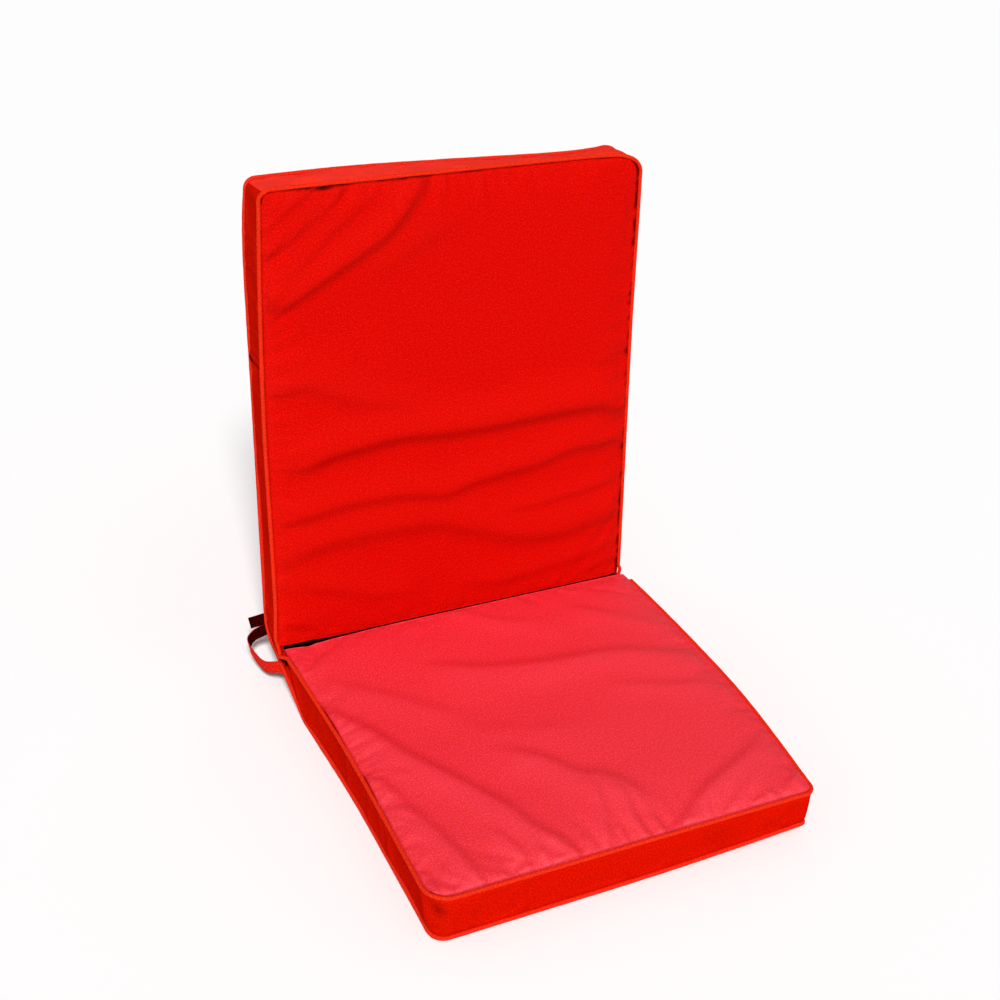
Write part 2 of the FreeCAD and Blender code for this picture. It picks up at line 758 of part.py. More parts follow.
def make_slider(pad_name, frame):
    """The slider, an inverted channel over the coil with a bail on top, and its pull tab."""
    wall, room, coil = dim("slider_wall"), dim("slider_gap"), dim("zip_coil_width")
    long, wide = dim("slider_length"), dim("slider_width")
    start = f"(-{dim('zip_length')} / 2 + {dim('slider_park')})"
    foot = f"({dim('sewing_gap')} + {dim('zip_tape_thickness')} + {room})"
    inside = dim("zip_coil_thickness")
    top = f"({foot} + {inside} + {wall})"
    block = box(
        f"{pad_name}_slider_block", (start, f"-{wide} / 2", foot), (long, wide, f"{inside} + {wall}")
    )
    slot = box(
        f"{pad_name}_slider_slot",
        (f"{start} - {wall}", f"-{coil} / 2 - {room}", f"{foot} - {wall}"),
        (f"{long} + 2 * {wall}", f"{coil} + 2 * {room}", f"{inside} + {wall}"),
    )
    channel = joined("Part::Cut", f"{pad_name}_slider_channel", block, slot)

    bail_long, bail_wide = dim("bail_length"), dim("bail_width")
    bail_wall, pivot = dim("bail_wall"), dim("bail_pivot_height")
    middle = f"({start} + {long} / 2)"
    bail = box(
        f"{pad_name}_slider_bail",
        (f"{middle} - {bail_long} / 2", f"-{bail_wide} / 2", top),
        (bail_long, bail_wide, f"2 * {pivot} + {bail_wall}"),
    )
    eye = box(
        f"{pad_name}_slider_eye",
        (f"{middle} - {bail_long} / 2 + {bail_wall}", f"-{bail_wide}", top),
        (f"{bail_long} - 2 * {bail_wall}", f"2 * {bail_wide}", f"2 * {pivot}"),
    )
    arch = joined("Part::Cut", f"{pad_name}_slider_arch", bail, eye)
    slider = joined("Part::Fuse", f"{pad_name}_zip_slider", channel, arch)
    keep(slider, f"{pad_name}_zip_slider", frame)

    pull_wide, thin, hub = dim("pull_width"), dim("pull_thickness"), dim("pull_hub")
    plate = box(
        f"{pad_name}_pull_plate",
        (f"{middle} - {hub}", f"-{pull_wide} / 2", f"{top} + {pivot} - {thin} / 2"),
        (dim("pull_length"), pull_wide, thin),
    )
    window = box(
        f"{pad_name}_pull_window",
        (f"{middle} + {hub}", f"-{bail_wide} / 2 - {room}", f"{top} + {pivot} - {thin}"),
        (f"{dim('bail_length')} - {hub}", f"{bail_wide} + 2 * {room}", f"2 * {thin}"),
    )
    pull = joined("Part::Cut", f"{pad_name}_zip_pull", plate, window)
    keep(pull, f"{pad_name}_zip_pull", frame)


def make_zips():
    face = FreeCAD.Placement(
        FreeCAD.Vector(0, value(dim("pad_thickness")), value(dim("back_zip_height"))),
        FreeCAD.Rotation(FreeCAD.Vector(1, 0, 0), -90),
    )
    make_zip("back", back_frame().multiply(face), ("upper", "lower"))
    slope = math.atan(value(TAPER_SLOPE))
    inset = value(dim("seat_zip_inset"))
    height = (value(dim("taper_length")) - inset) * math.tan(slope)
    under = FreeCAD.Placement(
        FreeCAD.Vector(0, value(HINGE_Y) - inset, height),
        FreeCAD.Rotation(FreeCAD.Vector(1, 0, 0), 180 + math.degrees(slope)),
    )
    make_zip("seat", under, ("rear", "front"))


# ---- checking and writing ---------------------------------------------------------------------


def check_document():
    for item in doc.Objects:
        if any(word in item.State for word in ("Invalid", "Error")):
            raise ValueError(f"{item.Label} failed: {item.State}")
    for item in subparts:
        if item.Shape.isNull() or not item.Shape.isValid() or not item.Shape.Solids:
            raise ValueError(f"{item.Label} has no valid solid")


def write_subparts():
    os.makedirs("parts", exist_ok=True)
    for item in subparts:
        item.Shape.exportStep(f"parts/{item.Label}.step")
        print(item.Label, f"{item.Shape.Volume / 1000:.2f} cm3", len(item.Shape.Solids))


make_seat()
make_back()
make_hinge()
make_ties()
make_zips()
doc.recompute()
check_document()
write_subparts()
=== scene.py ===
import math

import bpy
import numpy as np
from mathutils import Matrix, Vector


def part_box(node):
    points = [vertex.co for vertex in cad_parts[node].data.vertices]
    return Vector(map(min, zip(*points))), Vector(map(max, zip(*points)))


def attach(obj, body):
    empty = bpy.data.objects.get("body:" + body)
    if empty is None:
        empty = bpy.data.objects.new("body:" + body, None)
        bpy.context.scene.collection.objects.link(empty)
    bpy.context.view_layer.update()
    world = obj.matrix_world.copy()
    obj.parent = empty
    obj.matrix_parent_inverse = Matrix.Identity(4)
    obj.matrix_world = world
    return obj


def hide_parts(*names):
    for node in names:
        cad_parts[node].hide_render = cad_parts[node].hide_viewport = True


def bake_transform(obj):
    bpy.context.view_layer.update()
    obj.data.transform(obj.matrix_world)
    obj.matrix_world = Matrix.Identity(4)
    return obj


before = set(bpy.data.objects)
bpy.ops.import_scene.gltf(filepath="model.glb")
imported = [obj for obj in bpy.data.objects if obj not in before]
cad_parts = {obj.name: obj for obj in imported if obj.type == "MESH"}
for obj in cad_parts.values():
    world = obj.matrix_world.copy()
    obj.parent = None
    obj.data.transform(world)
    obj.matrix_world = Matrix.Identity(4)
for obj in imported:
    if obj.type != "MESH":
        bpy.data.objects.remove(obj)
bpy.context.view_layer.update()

# sizes in metres, in the row frame
MM = 0.001
HALF_WIDTH = 0.200
THICKNESS = 0.050
HINGE = np.array([0.0, 0.195, 0.050])
RECLINE = math.radians(7.0)
COS, SIN = math.cos(RECLINE), math.sin(RECLINE)
SEAT_LENGTH = 0.390
BACK_LENGTH = 0.480
CROWN = 0.0030
TAPER_LENGTH = 0.066
TAPER_HEIGHT = 0.025
PIPING_RADIUS = 0.0020
# the cover's edge lies this far inside the pad's outline, and its hinge end this far from the hinge
INSET, NEAR_END = 0.0015, 0.0030
ZIP_REACH = 0.013


# ---------------------------------------------------------------- camera, light
def look(place=(-0.6514, -1.1174, 1.0818), angles=(27.829, 31.297, 4.532), lens=59.48):
    """The camera. The angles are yaw, downward pitch and roll in degrees."""
    camera = bpy.data.cameras.new("camera")
    camera.lens, camera.sensor_width, camera.clip_start = lens, 36.0, 0.01
    item = bpy.data.objects.new("camera", camera)
    yaw, pitch, roll = (math.radians(a) for a in angles)
    forward = Vector((math.sin(yaw) * math.cos(pitch), math.cos(yaw) * math.cos(pitch), -math.sin(pitch)))
    side = Vector((math.cos(yaw), -math.sin(yaw), 0.0))
    up = side.cross(forward)
    right = side * math.cos(roll) + up * math.sin(roll)
    above = up * math.cos(roll) - side * math.sin(roll)
    turn = Matrix((right, above, -forward)).transposed().to_4x4()
    item.matrix_world = Matrix.Translation(place) @ turn
    bpy.context.scene.collection.objects.link(item)
    bpy.context.scene.camera = item


def studio(sky=0.27, sun_power=3.15, sun_spread=13.0, sun_way=(0.25, 0.62, -0.76)):
    """Even white light all round, one wide sun, and a pale floor a little below the cushion."""
    scene = bpy.context.scene
    scene.view_settings.view_transform = "Standard"
    world = bpy.data.worlds.new("studio")
    world.use_nodes = True
    background = world.node_tree.nodes["Background"]
    background.inputs["Color"].default_value = (1.0, 1.0, 1.0, 1.0)
    background.inputs["Strength"].default_value = sky
    scene.world = world
    sun = bpy.data.lights.new("key", "SUN")
    sun.energy, sun.angle = sun_power, math.radians(sun_spread)
    item = bpy.data.objects.new("key", sun)
    item.rotation_euler = Vector(sun_way).to_track_quat("-Z", "Y").to_euler()
    scene.collection.objects.link(item)
    mesh = bpy.data.meshes.new("floor")
    reach = 6.0
    corners = [(-reach, -reach, 0), (reach, -reach, 0), (reach, reach, 0), (-reach, reach, 0)]
    mesh.from_pydata(corners, [], [(0, 1, 2, 3)])
    floor = bpy.data.objects.new("floor", mesh)
    floor.location.z = -0.0012
    scene.collection.objects.link(floor)
    made = Nodes("pale_floor")
    made.fill(made.shader, {"Base Color": (0.97, 0.97, 0.97, 1.0), "Roughness": 0.9, "Specular IOR Level": 0.1})
    mesh.materials.append(made.material)


# ---------------------------------------------------------------- materials
class Nodes:
    """A small helper that wires up one material."""

    def __init__(self, name):
        self.material = bpy.data.materials.new(name)
        self.material.use_nodes = True
        self.tree = self.material.node_tree
        self.shader = self.tree.nodes["Principled BSDF"]

    def fill(self, node, inputs):
        """Sets a node's inputs, each from a socket, a number or a colour."""
        for key, source in inputs.items():
            if isinstance(source, (int, float, tuple)):
                node.inputs[key].default_value = source
            elif source is not None:
                self.tree.links.new(source, node.inputs[key])
        return node.outputs

    def add(self, kind, inputs, **settings):
        node = self.tree.nodes.new(kind)
        for key, value in settings.items():
            setattr(node, key, value)
        return self.fill(node, inputs)

    def math(self, operation, *values):
        return self.add("ShaderNodeMath", dict(enumerate(values)), operation=operation)[0]

    def attribute(self, name, output="Fac"):
        return self.add("ShaderNodeAttribute", {}, attribute_name=name)[output]

    def scaled(self, vector, scale):
        return self.add("ShaderNodeVectorMath", {0: vector, 1: scale}, operation="MULTIPLY")[0]

    def noise(self, vector, scale, detail=2.0, rough=0.5):
        return self.add("ShaderNodeTexNoise", {"Vector": vector, "Scale": scale, "Detail": detail,
             "Roughness": rough})["Fac"]

    def map(self, value, low, high, to_low, to_high):
        ends = {"Value": value, "From Min": low, "From Max": high, "To Min": to_low, "To Max": to_high}
        return self.add("ShaderNodeMapRange", ends)["Result"]

    def mix(self, share, first, second):
        return self.add("ShaderNodeMix", {"Factor": share, "A": first, "B": second}, data_type="RGBA")["Result"]

    def bump(self, height, strength, distance, normal=None):
        return self.add("ShaderNodeBump", {"Height": height, "Strength": strength, "Distance": distance,
             "Normal": normal})["Normal"]

    def finish(self, colour, roughness, normal, sheen=0.0, tint=(1, 1, 1, 1), sheen_rough=0.4, specular=0.3, metal=0.0):
        self.fill(self.shader, {
            "Base Color": colour, "Roughness": roughness, "Normal": normal, "Sheen Weight": sheen, "Sheen Tint": tint,
            "Sheen Roughness": sheen_rough, "Specular IOR Level": specular, "Metallic": metal})
        return self.material


def woven(name, base, dark, faded_and_sheen, pitch, sheen=0.0, slant=0.0, specular=0.03, roughness=0.62,
          fleck_tint=(1.0, 0.5, 0.1)):
    """Plain-weave cloth, its threads pitch apart and turned by slant. base, dark and faded are red, green and blue.

    The "cloth" attribute runs along and across the piece in metres. The wear attribute fades it, as real wear and as
    painted sheen, and "deep" blackens it as painted shade.
    """
    base, dark, faded_and_sheen = base + (1.0,), dark + (1.0,), faded_and_sheen + (1.0,)
    made = Nodes(name)
    cloth = made.attribute("cloth", "Vector")
    wear_and_painted_sheen, deep = made.attribute("wear_and_painted_sheen"), made.attribute("deep")
    if slant:
        cloth = made.add("ShaderNodeVectorRotate", {"Vector": cloth, "Angle": slant}, rotation_type="Z_AXIS")["Vector"]
    parts = made.add("ShaderNodeSeparateXYZ", {"Vector": cloth})
    along = made.math("MULTIPLY", parts["X"], math.pi / pitch)
    across = made.math("MULTIPLY", parts["Y"], math.pi / pitch)
    warp = made.math("SINE", along)
    weft = made.math("SINE", across)
    crossing = made.math("MULTIPLY", warp, weft)
    ridges = made.math("ADD", made.math("ABSOLUTE", warp), made.math("ABSOLUTE", weft))
    threads = made.math("ADD", made.math("MULTIPLY", crossing, 0.5), made.math("MULTIPLY", ridges, 0.35))
    warp_slub = made.noise(made.scaled(cloth, (1.0 / pitch, 40.0, 1.0)), 1.0, 1.0)
    weft_slub = made.noise(made.scaled(cloth, (40.0, 1.0 / pitch, 1.0)), 1.0, 1.0)
    slub = made.math("ADD", warp_slub, weft_slub)
    cloud = made.noise(cloth, 22.0, 3.0, 0.6)
    fibre = made.noise(cloth, 2600.0, 2.0, 0.7)
    shade = made.math("ADD", made.map(threads, -0.3, 1.1, 0.0, 0.55), made.map(slub, 0.6, 1.4, 0.0, 0.45))
    colour = made.mix(shade, dark, base)
    colour = made.mix(made.map(cloud, 0.3, 0.7, 0.0, 0.16), colour, dark)
    # painted sheen: the wear attribute mixes in the faded colour, which also stands in for sheen on fold crests
    colour = made.mix(made.math("MULTIPLY", wear_and_painted_sheen, made.map(fibre, 0.35, 0.75, 0.05, 0.5)), colour, faded_and_sheen)
    fleck = made.noise(cloth, 620.0, 2.0, 0.6)
    tinted = tuple(a * b for a, b in zip(faded_and_sheen, fleck_tint)) + (1.0,)
    colour = made.mix(made.map(fleck, 0.50, 0.66, 0.0, 0.75), colour, tinted)
    colour = made.mix(made.map(fleck, 0.34, 0.48, 0.7, 0.0), colour, dark)
    # painted shade: deep mixes the colour to near black in creases, hollows, dents and gaps
    colour = made.mix(deep, colour, (0.003, 0.0, 0.0, 1))
    rough = made.map(made.math("ADD", slub, fibre), 1.0, 2.0, roughness - 0.06, roughness + 0.08)
    normal = made.bump(threads, 0.35, pitch * 0.45)
    normal = made.bump(slub, 0.25, 0.00018, normal)
    normal = made.bump(made.noise(cloth, 260.0, 3.0, 0.6), 0.18, 0.0006, normal)
    return made.finish(colour, rough, normal, sheen, faded_and_sheen, 0.45, specular)


def zip_metal():
    made = Nodes("zip_metal")
    place = made.add("ShaderNodeTexCoord", {})["Object"]
    scratches = made.noise(made.scaled(place, (300.0, 3000.0, 3000.0)), 1.0, 3.0, 0.6)
    grime = made.noise(place, 400.0, 3.0, 0.6)
    colour = made.mix(made.map(grime, 0.45, 0.75, 0.0, 0.5), (0.62, 0.61, 0.60, 1), (0.33, 0.30, 0.28, 1))
    rough = made.map(scratches, 0.3, 0.7, 0.22, 0.42)
    return made.finish(colour, rough, made.bump(scratches, 0.2, 0.00008), specular=0.5, metal=1.0)


def zip_nylon():
    made = Nodes("zip_coil")
    place = made.add("ShaderNodeTexCoord", {})["Object"]
    fine = made.noise(place, 900.0, 2.0, 0.6)
    colour = made.mix(made.map(fine, 0.3, 0.7, 0.0, 1.0), (0.42, 0.006, 0.006, 1), (0.30, 0.004, 0.004, 1))
    return made.finish(colour, made.map(fine, 0.3, 0.7, 0.3, 0.5), made.bump(fine, 0.2, 0.00005), specular=0.5)


# thread pitches in metres; the piping is cut on the bias, so its weave slants
WEAVE, FINE_WEAVE, TAPE_WEAVE, SLANT = 0.00052, 0.00045, 0.0007, 0.78
COVER = woven("cover_cloth", (0.67, 0.0022, 0.0012), (0.53, 0.0009, 0.0004),
     (0.82, 0.018, 0.010), WEAVE, specular=0.015)
# a lit copy of the cover cloth: the seat's face is painted lighter and pinker as painted sheen from overhead light
LIT_SEAT_FACE = woven("lit_seat_face_cloth", (0.85, 0.009, 0.015), (0.74, 0.003, 0.005), (0.96, 0.074, 0.115), WEAVE, 0.03,
                  specular=0.62, roughness=0.58, fleck_tint=(1.0, 0.7, 1.1))
BAND = woven("band_cloth", (0.64, 0.0060, 0.0004), (0.48, 0.0028, 0.0002), (0.80, 0.030, 0.005), WEAVE, specular=0.0)
PIPING = woven("piping_cloth", (0.82, 0.020, 0.005), (0.62, 0.008, 0.001),
     (0.95, 0.095, 0.035), FINE_WEAVE, 0.02, SLANT)
# a shaded copy of the piping for the lower seams, painted a little darker as painted shade
SHADED_LOW_PIPING = woven("shaded_outer_piping_cloth", (0.80, 0.022, 0.008), (0.60, 0.008, 0.003), (0.95, 0.090, 0.040), FINE_WEAVE,
                   0.0, SLANT)
# a lit copy of the band cloth for the seat's front side, painted a little lighter as painted light from the front
LIT_FRONT_BAND = woven("lit_front_band_cloth", (0.65, 0.0050, 0.0004), (0.52, 0.0020, 0.0002), (0.82, 0.030, 0.005), WEAVE,
                   specular=0.0)
# a lit copy of the band cloth for the back's upward-facing top side, painted lighter and pinker as painted light and
# sheen from above
LIT_TOP_BAND = woven("lit_top_band_cloth", (0.97, 0.038, 0.028), (0.86, 0.020, 0.012), (1.0, 0.085, 0.060), WEAVE, 0.03)
# painted shadow: the welt is near black to stand in for the shade inside the hinge gap
SHADOW_BLACK_WELT = woven("welt_cloth", (0.006, 0.0001, 0.0001), (0.002, 0.0, 0.0), (0.02, 0.0, 0.0), FINE_WEAVE, 0.0, SLANT, 0.0)
# painted shadow: the ties' reverse faces are near black to stand in for the shade on their inner sides
SHADOW_DARK_REVERSE = woven("tie_reverse_painted_shadow_cloth", (0.010, 0.0002, 0.0001), (0.003, 0.0, 0.0), (0.16, 0.004, 0.002), TAPE_WEAVE,
                specular=0.0)
TAPE = woven("tie_cloth", (0.74, 0.008, 0.004), (0.50, 0.003, 0.001), (0.90, 0.080, 0.050), TAPE_WEAVE)
ZIP_TAPE = woven("zip_tape_cloth", (0.58, 0.006, 0.004), (0.40, 0.002, 0.001), (0.8, 0.07, 0.05), 0.0006)
METAL = zip_metal()
NYLON = zip_nylon()


# ---------------------------------------------------------------- mesh helpers
def make_mesh(name, points, faces, material, cloth=None, wear_and_painted_sheen=None, deep=None, zones=None):
    """cloth holds one pair of cloth coordinates for every corner of every face, in face order."""
    mesh = bpy.data.meshes.new(name)
    mesh.from_pydata([tuple(p) for p in points], [], [tuple(int(i) for i in f) for f in faces])
    for one in material if isinstance(material, tuple) else (material,):
        mesh.materials.append(one)
    if zones is not None:
        mesh.polygons.foreach_set("material_index", np.asarray(zones, np.int32))
    mesh.polygons.foreach_set("use_smooth", np.ones(len(mesh.polygons), bool))
    if cloth is not None:
        layer = mesh.attributes.new("cloth", "FLOAT_VECTOR", "CORNER")
        flat = np.zeros((len(mesh.loops), 3), np.float32)
        flat[:, :2] = cloth
        layer.data.foreach_set("vector", flat.ravel())
    # wear carries real wear and painted sheen, deep carries painted shade
    for key, values in (("wear_and_painted_sheen", wear_and_painted_sheen), ("deep", deep)):
        layer = mesh.attributes.new(key, "FLOAT", "POINT")
        if values is not None:
            layer.data.foreach_set("value", np.clip(values, 0, 1).astype(np.float32))
    mesh.update()
    item = bpy.data.objects.new(name, mesh)
    bpy.context.scene.collection.objects.link(item)
    return item


def smooth(t):
    t = np.clip(t, 0.0, 1.0)
    return t * t * (3 - 2 * t)


def lengths(run):
    """How far along a line each of its points is."""
    return np.concatenate([[0], np.cumsum(np.linalg.norm(np.diff(run, axis=0), axis=1))])


def spline(points, count):
    """count points on a Catmull-Rom spline, evenly spaced in length."""
    points = np.asarray(points, float)
    padded = np.vstack([2 * points[0] - points[1], points, 2 * points[-1] - points[-2]])
    run = []
    for k in range(len(points) - 1):
        a, b, c, d = padded[k:k + 4]
        t = np.linspace(0, 1, 24, endpoint=False)[:, None]
        run.append(0.5 * (2 * b + (c - a) * t + (2 * a - 5 * b + 4 * c - d) * t ** 2
                          + (3 * b - a - 3 * c + d) * t ** 3))
    run = np.vstack(run + [points[-1:]])
    at = lengths(run)
    want = np.linspace(0, at[-1], count)
    return np.stack([np.interp(want, at, run[:, k]) for k in range(run.shape[1])], 1)


def soft_noise(shape, cells, seed):
    """Smooth noise from -1 to 1 on a grid of that shape, with that many cells each way."""
    table = np.random.RandomState(seed).uniform(-1, 1, (cells[0] + 2, cells[1] + 2))
    i = np.linspace(0, cells[0] - 1e-6, shape[0])
    j = np.linspace(0, cells[1] - 1e-6, shape[1])
    i0, j0 = i.astype(int), j.astype(int)
    u, v = smooth(i - i0)[:, None], smooth(j - j0)[None, :]
    a, b = table[i0][:, j0], table[i0 + 1][:, j0]
    c, d = table[i0][:, j0 + 1], table[i0 + 1][:, j0 + 1]
    return a * (1 - u) * (1 - v) + b * u * (1 - v) + c * (1 - u) * v + d * u * v


def doubled(grid):
    """The grid with cubic midpoints put between neighbours, both ways."""
    for axis in (0, 1):
        grid = np.moveaxis(grid, axis, 0)
        wide = np.concatenate([2 * grid[:1] - grid[1:2], grid, 2 * grid[-1:] - grid[-2:-1]])
        out = np.empty((2 * len(grid) - 1,) + grid.shape[1:])
        out[0::2] = grid
        out[1::2] = (-wide[:-3] + 9 * wide[1:-2] + 9 * wide[2:-1] - wide[3:]) / 16
        grid = np.moveaxis(out, 0, axis)
    return grid


def border(n, m):
    """Index pairs that read the sides of an n by m grid in loop order: hinge end, +x, far end, -x."""
    return [(np.arange(n), 0), (n - 1, np.arange(m)), (np.arange(n)[::-1], m - 1), (0, np.arange(m)[::-1])]


# ---------------------------------------------------------------- pads
# a fold's gentle flank is this many times as wide as its steep one
GENTLE = 2.6


class Pad:
    """One pad in its own frame: x across, q away from the hinge, h out of its lower face."""

    def __init__(self, name, length, columns, rows, band_rows, taper, radii):
        """radii are those of the far corners at -x and at +x."""
        self.name, self.length, self.taper, self.radii = name, length, taper, radii
        self.columns, self.rows, self.band_rows = columns, rows, band_rows

    def plan(self, x):
        """The outline: half its width, its far end, and the radius of the far corner on the side of x."""
        return HALF_WIDTH - INSET, self.length - INSET, np.where(x < 0, *self.radii)

    def flat(self):
        """Where each grid point lies in the pad's plane, with the far corners rounded."""
        a, b = np.meshgrid(np.linspace(-1, 1, self.columns + 1), np.linspace(0, 1, self.rows + 1), indexing="ij")
        half, end, radius = self.plan(a)
        x, q = a * half, NEAR_END + b * (end - NEAR_END)
        u = np.clip((np.abs(x) - (half - radius)) / radius, 0, 1)
        v = np.clip((q - (end - radius)) / radius, 0, 1)
        corner = (u > 0) & (v > 0)
        x = np.where(corner, np.sign(x) * (half - radius + radius * u * np.sqrt(1 - v * v / 2)), x)
        q = np.where(corner, end - radius + radius * v * np.sqrt(1 - u * u / 2), q)
        return x, q

    def outward(self, x, q):
        """The outward direction in the plane at points of the border loop."""
        half, end, radius = self.plan(x)
        dx = x - np.clip(x, -(half - radius), half - radius)
        dq = q - np.minimum(q, end - radius)
        size = np.maximum(np.hypot(dx, dq), 1e-9)
        near = (q < NEAR_END + 0.0001) & (np.abs(x) < half - 0.0002)
        return np.where(near, 0, dx / size), np.where(near, -1, dq / size)

    def gap(self, x, q):
        """How far inside the cover's seams a point is."""
        half, end, _ = self.plan(x)
        return np.minimum(np.minimum(half - np.abs(x), q - NEAR_END), end - q)

    def lower(self, q):
        """The height of the lower face."""
        return self.taper * TAPER_HEIGHT * np.clip((TAPER_LENGTH - q) / (TAPER_LENGTH - NEAR_END), 0, 1)

    def to_row(self, points):
        """Pad coordinates to the row frame."""
        x, q, h = np.moveaxis(points, -1, 0)
        if self.name == "seat":
            return np.stack([x, HINGE[1] - q, h], -1)
        deep = THICKNESS - h
        return np.stack([x, HINGE[1] + deep * COS + q * SIN, HINGE[2] - deep * SIN + q * COS], -1)

    def from_row(self, points):
        x, y, z = np.moveaxis(points, -1, 0)
        if self.name == "seat":
            return np.stack([x, HINGE[1] - y, z], -1)
        dy, dz = y - HINGE[1], z - HINGE[2]
        return np.stack([x, dy * SIN + dz * COS, THICKNESS - (dy * COS - dz * SIN)], -1)


def curve(table, t):
    """A smooth line through (place, value) pairs."""
    run = spline(np.asarray(table, float) * [1, MM], 12 * len(table))
    return np.interp(t, run[:, 0], run[:, 1])


def seam_shift(pad, x, q, tables):
    """How far the seam moves outward and up at points of the border, from the tables for its three sides."""
    ox, oq = pad.outward(x, q)
    left, right, far = (ox < -0.01) * ox ** 2, (ox > 0.01) * ox ** 2, (oq > 0) * oq ** 2
    shifts = []
    for kind in ("out", "up"):
        total = np.zeros_like(x)
        for share, side, place in ((left, "left", q / pad.length), (right, "right", q / pad.length),
                                   (far, "far", x / HALF_WIDTH)):
            if (side, kind) in tables:
                total = total + share * curve(tables[side, kind], place)
        shifts.append(total)
    out, up = shifts
    return np.stack([ox * out, oq * out * (q > NEAR_END + 0.0001), up], -1)


def spread(pad, x, q, tables):
    """The seams' shifts over the whole panel, and the hinge end's own, which dies out over 50 mm."""
    shift = seam_shift(pad, x, q, tables)
    t = np.linspace(0, 1, pad.columns + 1)[:, None]
    shift[:, 0] = (1 - t) * shift[0, 0] + t * shift[-1, 0]
    shift = coons(shift)
    if ("near", "out") in tables:
        fade = 1 - smooth((q - NEAR_END) / 0.050)
        shift[..., 1] -= curve(tables["near", "out"], x / HALF_WIDTH) * fade
        shift[..., 2] += curve(tables["near", "up"], x / HALF_WIDTH) * fade
    return shift


def coons(loop):
    """Spreads the shift on a grid's border over its inside. Only the border of the array is read."""
    u = np.linspace(0, 1, loop.shape[0])[:, None, None]
    v = np.linspace(0, 1, loop.shape[1])[None, :, None]
    ruled = (1 - u) * loop[:1] + u * loop[-1:] + (1 - v) * loop[:, :1] + v * loop[:, -1:]
    corners = ((1 - u) * (1 - v) * loop[:1, :1] + u * (1 - v) * loop[-1:, :1]
               + (1 - u) * v * loop[:1, -1:] + u * v * loop[-1:, -1:])
    return ruled - corners


def start_shape(pad, top_tables, low_tables):
    """The pad before simulation: two crowned panels and the four sides of its edge band, as grids."""
    x, q = pad.flat()
    half, end, _ = pad.plan(x)
    rim = np.clip(np.minimum(half - np.abs(x), end - q), 0, None)
    edge = np.sqrt(np.clip(1 - (1 - np.minimum(rim / 0.013, 1)) ** 2, 0, 1))
    dome = (1 - (x / HALF_WIDTH) ** 2) * (1 - ((2 * q - pad.length) / pad.length) ** 2)
    rim_height = 0.0488 if pad.taper else 0.0475
    high = rim_height + (THICKNESS - rim_height) * edge + CROWN * np.clip(dome, 0, 1) ** 0.7
    low = pad.lower(q) + 0.0025 * (1 - edge)
    top = np.stack([x, q, high], -1) + spread(pad, x, q, top_tables)
    bottom = np.stack([x, q, low], -1) + spread(pad, x, q, low_tables)
    sides = []
    f = np.linspace(0, 1, pad.band_rows + 1)
    bulge = 0.0016 + 0.0012 * np.sin(math.pi * f)
    bulge[0] = bulge[-1] = 0.0
    for k, pick in enumerate(border(*x.shape)):
        ox, oq = pad.outward(x[pick], q[pick])
        out = np.stack([ox, oq, 0 * ox], -1) * (k > 0)
        f_up = f[:, None, None]
        sides.append(top[pick] * (1 - f_up) + bottom[pick] * f_up + out * bulge[:, None, None])
    tie_corners(sides)
    return top, bottom, sides


def tie_corners(sides):
    """Neighbouring sides share their end columns."""
    for k in range(4):
        after = sides[(k + 1) % 4]
        middle = (sides[k][:, -1] + after[:, 0]) / 2
        sides[k][:, -1] = middle
        after[:, 0] = middle


def stitch(pad, top, bottom, sides):
    """One closed mesh: its points, its faces, the cloth coordinates of their corners, its size and its zones."""
    n, m = top.shape[:2]
    points = [top.reshape(-1, 3), bottom.reshape(-1, 3)]
    t = np.arange(n * m).reshape(n, m)
    b = t + n * m
    total = 2 * n * m
    rows = sides[0].shape[0]
    index = []
    for pick, side in zip(border(n, m), sides):
        length = side.shape[1]
        grid = np.zeros((rows, length), int)
        grid[0], grid[-1] = t[pick], b[pick]
        inner = side[1:-1, 1:]
        grid[1:-1, 1:] = np.arange(inner.shape[0] * inner.shape[1]).reshape(inner.shape[:2]) + total
        total += inner.shape[0] * inner.shape[1]
        points.append(inner.reshape(-1, 3))
        index.append(grid)
    for k in range(4):
        index[k][1:-1, 0] = index[k - 1][1:-1, -1]
    faces, cloth = [], []
    rest_x, rest_q = np.linspace(-HALF_WIDTH, HALF_WIDTH, n), np.linspace(0, pad.length, m)

    def add(grid, u, v, turned):
        f = np.stack([grid[:-1, :-1], grid[1:, :-1], grid[1:, 1:], grid[:-1, 1:]], -1).reshape(-1, 4)
        uv = np.stack(np.broadcast_arrays(u[:, None], v[None, :]), -1)
        c = np.stack([uv[:-1, :-1], uv[1:, :-1], uv[1:, 1:], uv[:-1, 1:]], 2).reshape(-1, 4, 2)
        if turned:
            f, c = f[:, ::-1], c[:, ::-1]
        faces.append(f)
        cloth.append(c)

    flip = pad.name == "seat"
    add(t, rest_x, rest_q, flip)
    add(b, rest_x + 1.0, rest_q, not flip)
    start = 0.0
    for k in range(4):
        length = (2 * HALF_WIDTH, pad.length)[k % 2]
        along = np.linspace(start, start + length, index[k].shape[1])
        add(index[k].T, along, np.linspace(THICKNESS, 0, rows) + 2.0, flip)
        start += length
    zones = np.repeat([0, 1, 2, 2, 3, 2], [len(f) for f in faces])
    return np.vstack(points), np.vstack(faces), np.vstack(cloth).reshape(-1, 2), (n, m, rows), zones


def unstitch(points, shape, sides):
    """The grids again, from the points of a closed mesh."""
    n, m, rows = shape
    top = points[:n * m].reshape(n, m, 3)
    bottom = points[n * m:2 * n * m].reshape(n, m, 3)
    total = 2 * n * m
    made = []
    for pick, side in zip(border(n, m), sides):
        out = np.zeros_like(side)
        out[0], out[-1] = top[pick], bottom[pick]
        count = (rows - 2) * (side.shape[1] - 1)
        out[1:-1, 1:] = points[total:total + count].reshape(rows - 2, side.shape[1] - 1, 3)
        total += count
        made.append(out)
    for k in range(4):
        made[k][1:-1, 0] = made[k - 1][1:-1, -1]
    return top, bottom, made


